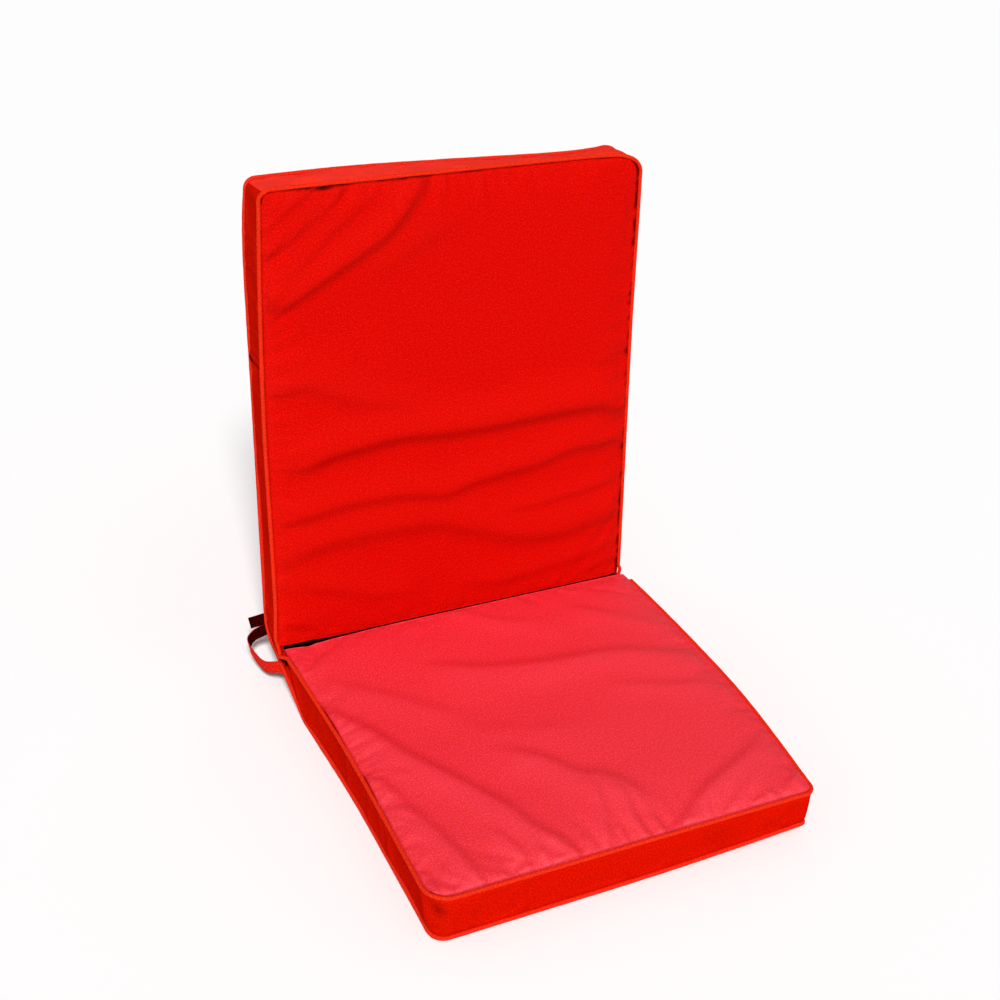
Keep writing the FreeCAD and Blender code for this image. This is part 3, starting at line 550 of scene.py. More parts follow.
def inflate(points, faces, pinned, pressure=2.5, grow=0.012, frames=20):
    """How far each point moves when Blender's cloth blows the cover up round its pinned seams."""
    item = make_mesh("trial", points, faces, COVER)
    group = item.vertex_groups.new(name="seams")
    group.add([int(i) for i in np.flatnonzero(pinned)], 1.0, "REPLACE")
    cloth = item.modifiers.new("cloth", "CLOTH")
    settings = cloth.settings
    settings.quality = 6
    settings.mass = 0.3
    settings.tension_stiffness = settings.compression_stiffness = 18.0
    settings.shear_stiffness = 6.0
    settings.bending_stiffness = 0.6
    settings.use_pressure = True
    settings.uniform_pressure_force = pressure
    settings.shrink_min = -grow
    settings.vertex_group_mass = "seams"
    settings.effector_weights.gravity = 0.0
    cloth.collision_settings.use_collision = False
    cloth.point_cache.frame_start, cloth.point_cache.frame_end = 1, frames
    scene = bpy.context.scene
    for f in range(1, frames + 1):
        scene.frame_set(f)
    final = item.evaluated_get(bpy.context.evaluated_depsgraph_get()).to_mesh()
    places = np.zeros(len(final.vertices) * 3)
    final.vertices.foreach_get("co", places)
    bpy.data.objects.remove(item)
    scene.frame_set(1)
    return places.reshape(-1, 3) - points


def crease_field(x, q, lines):
    """Heights in metres over panel points x, q, and how near each is to a steep flank.

    A line is (points, height, width, steep side, fade in, fade out), in millimetres. It lies on the steep flank of a
    fold, whose gentle flank is on the side of the sign; 0 is even.
    """
    total, flank = np.zeros_like(x), np.zeros_like(x)
    px, pq = x * 1000, q * 1000
    for points, height, width, steep, fade_in, fade_out in lines:
        run = spline(points, 60)
        reach = 6.5 * width
        box = ((px > run[:, 0].min() - reach) & (px < run[:, 0].max() + reach)
               & (pq > run[:, 1].min() - reach) & (pq < run[:, 1].max() + reach))
        if not box.any():
            continue
        p = np.stack([px[box], pq[box]], -1)
        best = np.linalg.norm(p[:, None] - run[None], axis=2).argmin(1)
        ahead = np.gradient(run, axis=0)[best]
        ahead /= np.linalg.norm(ahead, axis=1, keepdims=True)
        off = p - run[best]
        side = (ahead[:, 0] * off[:, 1] - ahead[:, 1] * off[:, 0]) / width
        along = np.abs((ahead * off).sum(1)) / width
        line = np.exp(-(side * 1.25) ** 2 - along ** 2)
        if steep:
            side = side * np.sign(steep) - 0.7
            side = np.where(side > 0, side / GENTLE, side)
        t = best / (len(run) - 1)
        strength = smooth(t / max(fade_in, 1e-3)) * smooth((1 - t) / max(fade_out, 1e-3))
        total[box] += height * MM * strength * np.exp(-side ** 2 - along ** 2)
        flank[box] = np.maximum(flank[box], strength * line * min(1, height / 6) ** 1.5)
    return total, flank


def puckers(pad, x, q, seed, depth):
    """Small gathers that run in from the seams."""
    gap = np.clip(pad.gap(x, q), 0, None)
    fine = 0.6 * soft_noise(x.shape, (34, 40), seed) + 0.4 * soft_noise(x.shape, (70, 80), seed + 1)
    near = np.exp(-(gap / 0.016) ** 1.5) * smooth(gap / 0.004)
    broad = soft_noise(x.shape, (9, 11), seed + 2)
    return depth * (fine * (0.15 + near)) + 0.0006 * broad * smooth(gap / 0.03)


def near_line(a, b, line, reach):
    """1 on a line in the plane of a and b, and 0 more than about two reaches from it."""
    run = spline(line, 40)
    away = np.sqrt(((np.stack([a, b], -1)[..., None, :] - run) ** 2).sum(-1)).min(-1)
    return np.exp(-(away / reach) ** 4)


# where the edge band is pinched shut under the seat's top seam: distance from the hinge, height
LOWER_HOLLOW = [(-0.003, 0.0335), (0.005, 0.0350), (0.012, 0.0368), (0.018, 0.0375), (0.023, 0.0360), (0.0260, 0.0325),
                (0.0270, 0.0285)]
HOLLOW_REACH = 0.0040


def hollow_painted_shade(points):
    """Painted shade where the seat's edge band is pinched shut beside the hinge."""
    x, q, h = points.T
    return smooth((np.abs(x) - 0.190) / 0.002) * near_line(q, h, LOWER_HOLLOW, HOLLOW_REACH)


def seam_shadow(x, q):
    """The broken dark line in the ditch between the back's face and its piping, along the top and the +x side."""
    n, m = x.shape
    dash = soft_noise((n, m), (70, 90), 91) + 0.7 * soft_noise((n, m), (31, 37), 92)
    side_q = q[-1]
    amount = 0.25 + 0.75 * smooth((side_q - 0.36) / 0.05) + 0.5 * smooth((0.15 - side_q) / 0.05)
    shade = np.zeros((n, m))
    shade[-1] = smooth(amount + 0.6 * dash[-1]) * 0.95
    shade[-2] = smooth(amount - 0.3 + 0.6 * dash[-1]) * 0.7
    blob = np.exp(-((x[:, -1] + 0.139) / 0.009) ** 2)
    shade[:, -1] = np.maximum(shade[:, -1], smooth(0.22 + 0.5 * dash[:, -1] + blob) * 0.8)
    shade[:, -2] = np.maximum(shade[:, -2], 0.9 * blob)
    shade[0, -6:-2] = 0.9
    return shade


def blown_up(pad, top, bottom, sides, zip_zone, caps):
    """The three kinds of grid after the simulation, none moved much further than its cap: top, bottom, sides."""
    points, faces, _, shape, _ = stitch(pad, top, bottom, sides)
    n, m, _ = shape
    edge = np.zeros((n, m), bool)
    edge[0], edge[-1], edge[:, 0], edge[:, -1] = True, True, True, True
    pinned = np.zeros(len(points), bool)
    pinned[:2 * n * m] = np.tile(edge.ravel(), 2)
    row = pad.to_row(points)
    moved = pad.from_row(row + inflate(row, faces, pinned)) - points
    size = np.linalg.norm(moved, axis=1, keepdims=True)
    cap = np.full((len(points), 1), caps[2])
    cap[:n * m] = caps[0]
    cap[n * m:2 * n * m] = caps[1] * (1 - 0.95 * zip_zone(bottom[..., 0], bottom[..., 1]).reshape(-1, 1))
    return unstitch(points + moved * (cap * np.tanh(size / cap) / np.maximum(size, 1e-9)), shape, sides)


def build_pad(pad, top_tables, low_tables, creases, low_creases, zip_at, caps, materials, dents):
    """Simulates, refines and creases one pad, and returns its grids in the row frame and its mesh piece."""
    is_seat = pad.name == "seat"

    def zip_zone(x, q):
        """1 under the zip and 0 away from it."""
        return smooth((ZIP_REACH + 0.010 - np.abs(q - zip_at)) / 0.010) * smooth((0.195 - np.abs(x)) / 0.012)

    top, bottom, sides = start_shape(pad, top_tables, low_tables)
    top, bottom, sides = blown_up(pad, top, bottom, sides, zip_zone, caps)
    top, bottom, sides = doubled(top), doubled(bottom), [doubled(side) for side in sides]
    x, q = top[..., 0], top[..., 1]
    gap = pad.gap(x, q)
    inside = smooth(gap / 0.0035)
    folds, flanks = crease_field(x, q, creases)
    top[..., 2] += (folds + puckers(pad, x, q, 3, 0.0011)) * inside
    low_folds = crease_field(x, q, low_creases)[0] + puckers(pad, x, q, 17, 0.0008)
    bottom[..., 2] -= low_folds * inside * (1 - zip_zone(x, q))
    rows = sides[0].shape[0]
    arch = np.sin(math.pi * np.linspace(0, 1, rows))[:, None]
    for k in (1, 2, 3):
        side = sides[k]
        count = side.shape[1]
        wave = soft_noise((rows, count), (3, max(count // 7, 4)), 40 + k)
        broad = soft_noise((rows, count), (2, max(count // 24, 2)), 50 + k)
        ends = smooth(np.linspace(0, 1, count) * 12)[None] * smooth(np.linspace(1, 0, count) * 12)[None]
        amount = (0.0005 * wave + 0.0007 * broad) * arch * ends
        ox, oq = pad.outward(side[0, :, 0], side[0, :, 1])
        side[..., 0] += amount * ox[None]
        for *spot, depth, radius in dents:
            sink = depth * np.exp(-((side - spot) ** 2).sum(-1) / radius ** 2) * arch ** 0.5
            side[..., 0] -= sink * ox[None]
            side[..., 1] -= sink * oq[None]
        if is_seat and k in (1, 3):
            pinch = near_line(side[1:-1, :, 1], side[1:-1, :, 2], LOWER_HOLLOW, HOLLOW_REACH)
            side[1:-1, :, 0] -= np.sign(side[1:-1, :, 0]) * 0.005 * pinch
        side[..., 1] += amount * oq[None]
    points, faces, cloth, (n, m, rows), zones = stitch(pad, top, bottom, sides)
    panel, both = n * m, 2 * n * m
    height = points[:, 2] - pad.lower(points[:, 1])
    wear_and_painted_sheen = np.exp(-np.minimum(np.abs(height - 0.0475), np.abs(height)) / 0.004) * 0.6
    # on the top panels the wear attribute paints sheen on fold crests; on the seat it is taken off the steep flanks as
    # painted shade, and on the back it also fades near the seams as wear
    crest = np.clip(folds / 0.003, 0, 1)
    if is_seat:
        wear_and_painted_sheen[:panel] = np.clip(0.35 + 0.55 * crest - 1.6 * flanks, 0, 1).ravel()
    else:
        wear_and_painted_sheen[:panel] = (0.5 * np.exp(-np.clip(gap, 0, 1) / 0.006) + 0.35 * crest).ravel()
    deep = np.zeros(len(points))
    # painted shade on the folds' steep flanks
    deep[:panel] = (flanks * (0.10 if is_seat else 0.15)).ravel()
    # painted shadow: the band's hinge end, in the gap between the pads, is blackened
    deep[both:both + (rows - 2) * (n - 1)] = 1.0
    # painted shade in the seat's pinched band beside the hinge
    deep += hollow_painted_shade(points) if is_seat else 0.0
    if not is_seat:
        deep[:panel] += seam_shadow(x, q).ravel()
    # painted shade in the dents of the edge band
    for *spot, depth, radius in dents:
        away = ((points - spot) ** 2 * (1, 1, 2.0)).sum(1)
        deep[both:] += 90 * depth * np.exp(-away / (radius * 0.8) ** 2)[both:]
    if is_seat:
        # painted shade: the front band's faces beside the -x corner take the darker band cloth
        beside = points[faces].mean(1)[:, 0] < 0.0185 - HALF_WIDTH
        zones = np.where((zones == 3) & beside, 2, zones)
    item = make_mesh(f"{pad.name}_cover", pad.to_row(points), faces, materials, cloth, wear_and_painted_sheen, deep, zones)
    return pad.to_row(top), pad.to_row(bottom), [pad.to_row(side) for side in sides], item


# ---------------------------------------------------------------- tubes and ribbons
def frames_along(path, closed=False):
    """Directions across a path that turn as little as they can."""
    ahead = np.roll(path, -1, 0) - np.roll(path, 1, 0) if closed else np.gradient(path, axis=0)
    ahead /= np.linalg.norm(ahead, axis=1, keepdims=True)
    first = np.cross(ahead[0], [0.3, 0.2, 1.0])
    first /= np.linalg.norm(first)
    across = [first]
    for k in range(1, len(path)):
        v = across[-1] - ahead[k] * (across[-1] @ ahead[k])
        across.append(v / np.linalg.norm(v))
    across = np.array(across)
    other = np.cross(ahead, across)
    if closed:
        v = across[-1] - ahead[0] * (across[-1] @ ahead[0])
        twist = math.atan2(v @ other[0], v @ across[0])
        angle = -twist * np.arange(len(path)) / len(path)
        c, s = np.cos(angle)[:, None], np.sin(angle)[:, None]
        across, other = across * c + other * s, other * c - across * s
    return ahead, across, other


def tube(name, path, radius, material, segments=12, closed=False, ripple=0.0, seed=1, swell=None):
    """A tube along a path, its ends closed, with soft ripples where the cloth is gathered round its cord."""
    points, faces, cloth = tube_parts(path, radius, segments, closed, ripple, seed, swell)
    return make_mesh(name, points, faces, material, cloth, np.full(len(points), 0.35))


def tube_parts(path, radius, segments, closed=False, ripple=0.0, seed=1, swell=None):
    """The points, faces and cloth coordinates of a tube."""
    ahead, across, other = frames_along(path, closed)
    count = len(path)
    angle = np.arange(segments) * 2 * math.pi / segments
    noise = soft_noise((count, segments), (max(count // 3, 2), 4), seed)
    size = radius * (1 + ripple * noise)
    if swell is not None:
        size = size * swell[:, None]
    ring = across[:, None] * np.cos(angle)[None, :, None] + other[:, None] * np.sin(angle)[None, :, None]
    points = (path[:, None] + ring * size[..., None]).reshape(-1, 3)
    length = lengths(np.vstack([path, path[:1]]))
    faces, cloth = [], []
    step = 2 * math.pi * radius / segments
    for k in range(count if closed else count - 1):
        after = (k + 1) % count
        for s in range(segments):
            t = (s + 1) % segments
            faces.append((k * segments + s, k * segments + t, after * segments + t, after * segments + s))
            a, b = length[k], length[k + 1]
            cloth += [(a, s * step), (a, (s + 1) * step), (b, (s + 1) * step), (b, s * step)]
    if not closed:
        points = np.vstack([points, path[:1], path[-1:]])
        for s in range(segments):
            t = (s + 1) % segments
            faces.append((count * segments, t, s))
            faces.append((count * segments + 1, (count - 1) * segments + s, (count - 1) * segments + t))
        cloth += [(0, 0), (step, 0), (0, step)] * (2 * segments)
    return points, faces, cloth


def patch(name, grid, material, thick, deep=None):
    """A cloth patch from a grid of row-frame points, with a little thickness. A pair of materials is for its faces."""
    n, m = grid.shape[:2]
    normal = np.cross(np.gradient(grid, axis=0), np.gradient(grid, axis=1))
    normal /= np.maximum(np.linalg.norm(normal, axis=2, keepdims=True), 1e-12)
    points = np.vstack([(grid + way * normal * thick / 2).reshape(-1, 3) for way in (1, -1)])
    index = np.arange(n * m).reshape(n, m)
    u, v = lengths(grid[:, m // 2]), lengths(grid[n // 2])
    faces, cloth, zones = [], [], []
    for i in range(n - 1):
        for j in range(m - 1):
            quad = (index[i, j], index[i + 1, j], index[i + 1, j + 1], index[i, j + 1])
            uv = [(u[i], v[j]), (u[i + 1], v[j]), (u[i + 1], v[j + 1]), (u[i], v[j + 1])]
            faces.append(quad)
            cloth += uv
            faces.append(tuple(c + n * m for c in quad[::-1]))
            cloth += uv[::-1]
            zones += [0, 1]
    rim = np.concatenate([index[:-1, 0], index[-1, :-1], index[:0:-1, -1], index[0, :0:-1]])
    for a, b in zip(rim, np.roll(rim, -1)):
        faces.append((b, a, a + n * m, b + n * m))
        cloth += [(0, 0), (thick, 0), (thick, thick), (0, thick)]
        zones.append(0)
    shade = None if deep is None else np.tile(deep.ravel(), 2)
    zones = zones if isinstance(material, tuple) else None
    return make_mesh(name, points, faces, material, cloth, np.full(len(points), 0.2), shade, zones)


def nurbs(points):
    """Points along the smooth line whose control points are the route's, in metres."""
    data = bpy.data.curves.new("route", "CURVE")
    data.dimensions = "3D"
    line = data.splines.new("NURBS")
    line.points.add(len(points) - 1)
    for p, co in zip(line.points, points):
        p.co = (co[0], co[1], co[2], 1.0)
    line.order_u = 3
    line.use_endpoint_u = True
    line.resolution_u = 16
    item = bpy.data.objects.new("route", data)
    bpy.context.scene.collection.objects.link(item)
    graph = bpy.context.evaluated_depsgraph_get()
    mesh = bpy.data.meshes.new_from_object(item.evaluated_get(graph))
    run = np.array([v.co for v in mesh.vertices], float)
    bpy.data.objects.remove(item)
    bpy.data.meshes.remove(mesh)
    return run


def ribbon(name, run, width, thick, lean, swapped):
    """A woven tape that follows run with its width upright, leaning by lean radians from start to end."""
    ahead = np.gradient(run, axis=0)
    ahead /= np.linalg.norm(ahead, axis=1, keepdims=True)
    up = np.array([0.0, 0.0, 1.0])
    across = up - ahead * (ahead @ up)[:, None]
    across /= np.linalg.norm(across, axis=1, keepdims=True)
    face = np.cross(ahead, across)
    angle = np.interp(np.linspace(0, 1, len(run)), [0, 0.25, 0.5, 0.8, 1], lean)
    c, s = np.cos(angle)[:, None], np.sin(angle)[:, None]
    across = across * c + face * s
    place = np.linspace(-0.5, 0.5, 9)
    grid = run[:, None] + across[:, None] * (place * width)[None, :, None]
    face = np.cross(ahead, across)
    bow = 0.0004 * np.sin(np.linspace(0, 9, len(run)))[:, None] * (1 - (2 * place) ** 2)[None]
    grid = grid + face[:, None] * bow[..., None]
    # one face of the tape is near black as painted shadow on its inner side
    return patch(name, grid, (SHADOW_DARK_REVERSE, TAPE) if swapped else (TAPE, SHADOW_DARK_REVERSE), thick)


# ---------------------------------------------------------------- the two pads
look()
studio()


# how far the seams lie from a plain box, in millimetres: (place along the side, shift). Places run from 0 at the hinge
# to 1 on the left and right sides, and from -1 at -x to 1 on the far and near ones
SEAT_TOP = {
    ("left", "out"): [(0.0, 0), (0.2, -2.5), (0.45, -4.5), (0.7, -3.0), (1.0, 0)],
    ("right", "out"): [(0.0, 6.0), (0.15, 7.5), (0.35, 8.5), (0.6, 8.0), (0.8, 4.0), (0.95, -0.5), (1.0, -1.5)],
    ("right", "up"): [(0.0, 1.0), (0.15, 3.0), (0.35, 5.0), (0.6, 6.0), (0.8, 3.5), (1.0, 0)],
    ("near", "out"): [(-1.0, -0.5), (-0.93, -2.0), (-0.87, -4.0), (-0.8, -2.4), (-0.74, -1.3), (-0.6, -0.6),
         (-0.3, 0.4), (0.8, 0.6), (1.0, 0.6)],
    ("near", "up"): [(-1.0, -0.8), (-0.9, -1.4), (-0.86, -1.8), (-0.8, -1.2), (-0.7, -0.8), (-0.5, -0.3),
         (0.0, 0.0), (1.0, 0.0)],
}
SEAT_LOW = {
    ("left", "out"): [(0.0, 0), (0.2, -3.0), (0.5, -7.0), (0.75, -6.5), (0.95, -5.5), (1.0, -4.0)],
    ("right", "out"): [(0.0, 3.0), (0.5, 3.0), (0.8, 0.0), (1.0, -4.0)],
    ("right", "up"): [(0.0, 0), (0.6, 0), (0.85, 3.0), (1.0, 8.0)],
    ("far", "up"): [(-1.0, 0), (0.0, 0.5), (0.5, 3.0), (1.0, 8.0)],
    ("far", "out"): [(-1.0, 1.0), (0.0, 0), (1.0, -1.0)],
}
BACK_TOP = {
    ("left", "out"): [(0.0, 4.5), (0.05, 3.8), (0.1, 2.9), (0.25, 3.7), (0.5, 5.5), (0.75, 4.0), (1.0, 0)],
    ("right", "out"): [(0.0, 0), (0.6, 0), (0.85, 2.0), (1.0, 3.0)],
    ("far", "out"): [(-1.0, -2.5), (-0.5, -2.0), (0.3, -1.5), (0.75, -2.0), (0.92, -4.0), (1.0, -7.0)],
    ("near", "out"): [(-1.0, 1.8), (-0.9, 2.4), (-0.8, 2.4), (-0.7, 3.6), (-0.5, 3.4), (-0.2, 2.4), (0.8, 2.0),
         (1.0, 0.5)],
    ("near", "up"): [(-1.0, 0.0), (0.0, 0.0), (1.0, 0.0)],
}
BACK_LOW = {
    ("left", "out"): [(0.0, 0), (0.5, 1.5), (0.85, 2.5), (1.0, -2.0)],
    ("right", "out"): [(0.0, 0), (0.7, 0), (1.0, 5.0)],
    ("far", "out"): [(-1.0, -1.5), (-0.5, -0.5), (0.0, -3.0), (0.6, -7.0), (0.85, -6.5), (1.0, -4.0)],
}

# (points, height, width, steep side, fade in, fade out), in millimetres on the panel
BACK_CREASES = [
    ([(-206, 356), (-195, 363), (-176, 368), (-147, 384), (-104, 408), (-74, 427), (-57, 445), (-41, 465),
         (-30, 484)], 4.95, 7.36, 1, 0.06, 0.05),
    ([(-206, 362), (-195, 374), (-179, 391), (-163, 405), (-133, 431), (-107, 451), (-88, 467),
         (-76, 484)], 1.95, 5.52, 1, 0.1, 0.05),
    ([(-206, 408), (-193, 416), (-178, 426), (-161, 438), (-144, 451), (-126, 466),
         (-112, 484)], 2.85, 5.06, 1, 0.06, 0.05),
    ([(-206, 434), (-193, 443), (-181, 454), (-168, 463), (-155, 470), (-142, 484)], 2.55, 4.6, 1, 0.06, 0.05),
    ([(-178, 462), (-166, 472), (-158, 484)], 1.2, 3.22, 1, 0.3, 0.1),
    ([(-120, 372), (-92, 384), (-61, 399), (-35, 414), (-13, 422), (20, 436)], 1.8, 11.96, 1, 0.4, 0.4),
    ([(-68, 486), (-71, 465), (-74, 450)], 1.2, 2.76, -1, 0.05, 0.6),
    ([(-12, 486), (-13, 474), (-14, 457), (-16, 444)], 1.65, 2.94, -1, 0.05, 0.6),
    ([(28, 486), (27, 470), (26, 449), (24, 436)], 1.65, 2.94, -1, 0.05, 0.6),
    ([(55, 486), (54, 471), (52, 456)], 1.2, 2.76, -1, 0.05, 0.6),
    ([(-206, 274), (-199, 277), (-167, 280), (-138, 269), (-99, 254), (-63, 246),
         (-20, 240)], 3.0, 11.04, 1, 0.04, 0.45),
    ([(-206, 212), (-198, 211), (-183, 213), (-157, 216), (-130, 220)], 1.35, 4.14, 1, 0.05, 0.6),
    ([(-208, 188), (-199, 191), (-175, 194), (-144, 204), (-109, 209), (-64, 213), (-18, 210), (29, 209), (77, 211),
         (126, 212), (161, 210), (195, 199), (206, 195)],
     6.9, 9.66, 1, 0.16, 0.05),
    ([(140, 262), (168, 262), (196, 272), (206, 276)], 1.65, 7.36, 1, 0.5, 0.05),
    ([(-208, 134), (-199, 137), (-186, 139), (-146, 147), (-110, 150), (-64, 149), (-18, 142), (11, 148), (49, 153),
         (88, 156), (128, 166), (163, 167), (194, 165), (206, 163)],
     4.8, 8.74, 1, 0.06, 0.05),
    ([(24, 112), (50, 111), (90, 110), (130, 114), (166, 118), (197, 117), (206, 116)], 2.55, 5.98, 1, 0.35, 0.04),
    ([(-208, 92), (-199, 95), (-174, 101), (-138, 108), (-102, 110), (-65, 110), (-27, 107), (2, 97), (41, 82),
         (81, 71), (121, 68), (162, 75), (194, 79), (206, 80)],
     4.35, 11.96, 1, 0.06, 0.06),
    ([(-208, 71), (-200, 69), (-167, 61), (-131, 51), (-99, 39), (-66, 34), (-30, 28)], 2.7, 9.2, 1, 0.05, 0.3),
    ([(-20, 34), (12, 30), (51, 24), (102, 29), (148, 34), (187, 44), (206, 50)], 2.4, 7.36, 1, 0.3, 0.05),
    ([(140, 12), (170, 18), (206, 28)], 1.2, 4.6, 1, 0.4, 0.05),
    ([(-206, 24), (-180, 22), (-140, 14)], 1.2, 6.44, 1, 0.05, 0.5),
    ([(206, 330), (190, 326), (176, 318)], 1.2, 3.68, -1, 0.05, 0.7),
    ([(206, 372), (192, 366), (182, 356)], 1.2, 3.22, -1, 0.05, 0.7),
    ([(206, 300), (188, 300), (160, 292)], 1.2, 4.6, -1, 0.05, 0.7),
]
SEAT_CREASES = [
    ([(-206, 96), (-188, 124), (-166, 160), (-146, 207), (-123, 247), (-107, 274), (-89, 307), (-77, 340),
         (-63, 362), (-54, 381), (-50, 394)], 3.52, 9.0, 1, 0.08, 0.03),
    ([(-206, 216), (-195, 219), (-181, 237), (-173, 273), (-164, 303), (-156, 333), (-151, 358), (-147, 382),
         (-146, 394)], 2.72, 7.0, 1, 0.04, 0.03),
    ([(-204, 222), (-176, 221), (-160, 232), (-148, 250)], 1.28, 4.0, 1, 0.1, 0.5),
    ([(-118, 322), (-109, 343), (-103, 360), (-101, 386), (-101, 394)], 2.08, 5.0, 1, 0.4, 0.03),
    ([(-78, 230), (-52, 243), (-27, 264), (-6, 292), (12, 302), (27, 317), (39, 339), (45, 351),
         (52, 372)], 2.88, 10.0, 1, 0.25, 0.25),
    ([(3, 300), (1, 311), (-4, 338), (-12, 363), (-18, 379), (-22, 394)], 2.08, 5.5, 1, 0.3, 0.03),
    ([(16, 306), (18, 318), (21, 340), (17, 362), (19, 385), (19, 394)], 2.08, 5.0, 1, 0.3, 0.03),
    ([(50, 394), (51, 385), (73, 368), (97, 353), (132, 337), (168, 320), (197, 304),
         (206, 298)], 3.04, 8.0, 1, 0.03, 0.3),
    ([(98, 394), (105, 380), (132, 366), (155, 350), (172, 338)], 1.44, 6.0, 1, 0.05, 0.4),
    ([(124, 394), (136, 383), (159, 376), (188, 367), (206, 360)], 2.4, 6.0, 1, 0.05, 0.1),
    ([(-84, 362), (-82, 376), (-83, 394)], 1.44, 3.2, 1, 0.5, 0.03),
    ([(-66, 380), (-68, 394)], 1.12, 2.6, 1, 0.4, 0.03),
    ([(-35, 364), (-37, 378), (-39, 394)], 1.6, 3.2, 1, 0.4, 0.03),
    ([(-3, 360), (-2, 372), (-4, 394)], 1.6, 3.2, 1, 0.4, 0.03),
    ([(36, 362), (35, 376), (36, 394)], 1.44, 3.2, 1, 0.4, 0.03),
    ([(72, 378), (68, 394)], 1.28, 3.0, 1, 0.4, 0.03),
    ([(-126, 374), (-124, 394)], 1.12, 3.0, 1, 0.4, 0.03),
    ([(-187, 350), (-189, 366), (-190, 394)], 1.44, 4.0, 1, 0.3, 0.1),
    ([(-172, 352), (-176, 372), (-178, 394)], 1.44, 4.0, 1, 0.3, 0.1),
    ([(-90, 82), (-61, 94), (-15, 114), (42, 128), (79, 131), (127, 139), (158, 154),
         (204, 178)], 2.88, 11.0, 1, 0.2, 0.04),
    ([(72, 178), (99, 188), (141, 207), (185, 220), (206, 232)], 1.76, 8.0, 1, 0.35, 0.04),
    ([(-26, -6), (2, 9), (32, 42), (65, 56), (96, 64)], 1.6, 9.0, 1, 0.15, 0.4),
    ([(96, 36), (120, 52), (158, 82), (185, 108), (206, 120)], 1.76, 8.0, 1, 0.3, 0.04),
    ([(-184, 62), (-157, 92), (-114, 132), (-82, 167), (-40, 196)], 1.6, 10.0, 1, 0.25, 0.4),
    ([(-100, 170), (-60, 200), (0, 224), (60, 236)], 1.28, 13.0, 1, 0.4, 0.4),
]
# dents in the edge band, darkened with painted shade: (x, q, height, depth, radius), in metres
SEAT_DENTS = [(-0.190, 0.382, 0.031, 0.0042, 0.009), (-0.1985, 0.150, 0.020, 0.0016, 0.016),
     (0.10, 0.3885, 0.022, 0.0012, 0.02)]
BACK_DENTS = [(-0.1985, 0.296, 0.026, 0.0016, 0.010), (-0.1985, 0.12, 0.02, 0.0014, 0.02)]
REAR_CREASES = [
    ([(-196, 300), (-90, 286), (40, 296), (150, 280), (196, 290)], 1.8, 13, 1.0, 0.1, 0.1),
    ([(-190, 180), (-60, 200), (70, 176), (190, 196)], 1.6, 12, 1.0, 0.1, 0.1),
    ([(-196, 430), (-120, 400), (-60, 392)], 1.6, 9, 1.0, 0.05, 0.5),
    ([(196, 440), (130, 418), (60, 410)], 1.6, 9, -1.0, 0.05, 0.5),
    ([(-150, 95), (-20, 110), (120, 92)], 1.2, 10, 1.0, 0.3, 0.3),
]
UNDER_CREASES = [
    ([(-190, 150), (-60, 170), (90, 150)], 0.5, 12, 0.0, 0.3, 0.3),
]

# how far the simulation may move the top panel, the lower panel and the edge band
SEAT_CAPS, BACK_CAPS = (0.0035, 0.0004, 0.0020), (0.0035, 0.0025, 0.0020)
SEAT_ZIP_AT, BACK_ZIP_AT = 0.034, 0.045
seat = Pad("seat", SEAT_LENGTH, 80, 78, 10, True, (0.020, 0.009))
back = Pad("back", BACK_LENGTH, 80, 96, 10, False, (0.010, 0.022))
_, _, seat_sides, seat_item = build_pad(seat, SEAT_TOP, SEAT_LOW, SEAT_CREASES, UNDER_CREASES, SEAT_ZIP_AT, SEAT_CAPS,
                                        (LIT_SEAT_FACE, LIT_SEAT_FACE, BAND, LIT_FRONT_BAND), SEAT_DENTS)
_, _, back_sides, back_item = build_pad(back, BACK_TOP, BACK_LOW, BACK_CREASES, REAR_CREASES, BACK_ZIP_AT, BACK_CAPS,
                                        (COVER, COVER, BAND, LIT_TOP_BAND), BACK_DENTS)
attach(seat_item, "seat")
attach(back_item, "back")
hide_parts("seat_foam", "seat_top_panel", "seat_bottom_panel", "seat_hinge_wall", "seat_boxing")
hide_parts("back_foam", "back_front_panel", "back_rear_panel", "back_hinge_wall",
            "back_boxing_upper", "back_boxing_right", "back_boxing_left")


def seam_run(pad, sides, row, least, push, drop=0.0):
    """The piping's line beside one seam: +x side, far end, -x side, as far as least from the hinge."""
    run = []
    for side in sides[1:]:
        local = pad.from_row(side[row])
        ox, oq = pad.outward(local[:, 0], local[:, 1])
        moved = local + np.stack([ox * push, oq * push, 0 * ox - drop], -1)
        run.append(moved if side is sides[-1] else moved[:-1])
    run = np.vstack(run)
    return pad.to_row(run[run[:, 1] > least])


def piping_line(first, second, route):
    """One closed line: round the seat, over the hinge at -x, round the back and over the hinge again at +x.

    route crosses the hinge at +x, from the seat to the back.
    """
    right, left = (np.array(route) * (sign, 1, 1) for sign in (-1, 1))
    line = np.vstack([first, right, second[::-1], left[::-1], first[:1]])
    return spline(line, int(lengths(line)[-1] / 0.0022))[:-1]


INNER_TURN = [(0.2015, 0.1815, 0.0462), (0.2028, 0.1870, 0.0432), (0.2025, 0.1925, 0.0395), (0.2010, 0.1955, 0.0385),
              (0.2012, 0.1975, 0.0440), (0.2032, 0.1990, 0.0530)]
OUTER_TURN = [(0.1995, 0.1990, 0.0278), (0.1985, 0.2150, 0.0292), (0.1985, 0.2300, 0.0320), (0.1990, 0.2400, 0.0395),
              (0.2000, 0.2430, 0.0500)]
inner = piping_line(seam_run(seat, seat_sides, 0, 0.016, 0.0016, 0.0004), seam_run(back, back_sides, 0, 0.008, 0.0019),
                    INNER_TURN)
outer = piping_line(seam_run(seat, seat_sides, -1, 0.008, 0.0018), seam_run(back, back_sides, -1, 0.010, 0.0017),
                    OUTER_TURN)


def joint(line, spot, reach=0.009):
    """How much a joint swells the piping, where one end lies over the other."""
    return 1 + 0.16 * smooth((reach - np.linalg.norm(line - np.array(spot), axis=1)) / 0.0025)


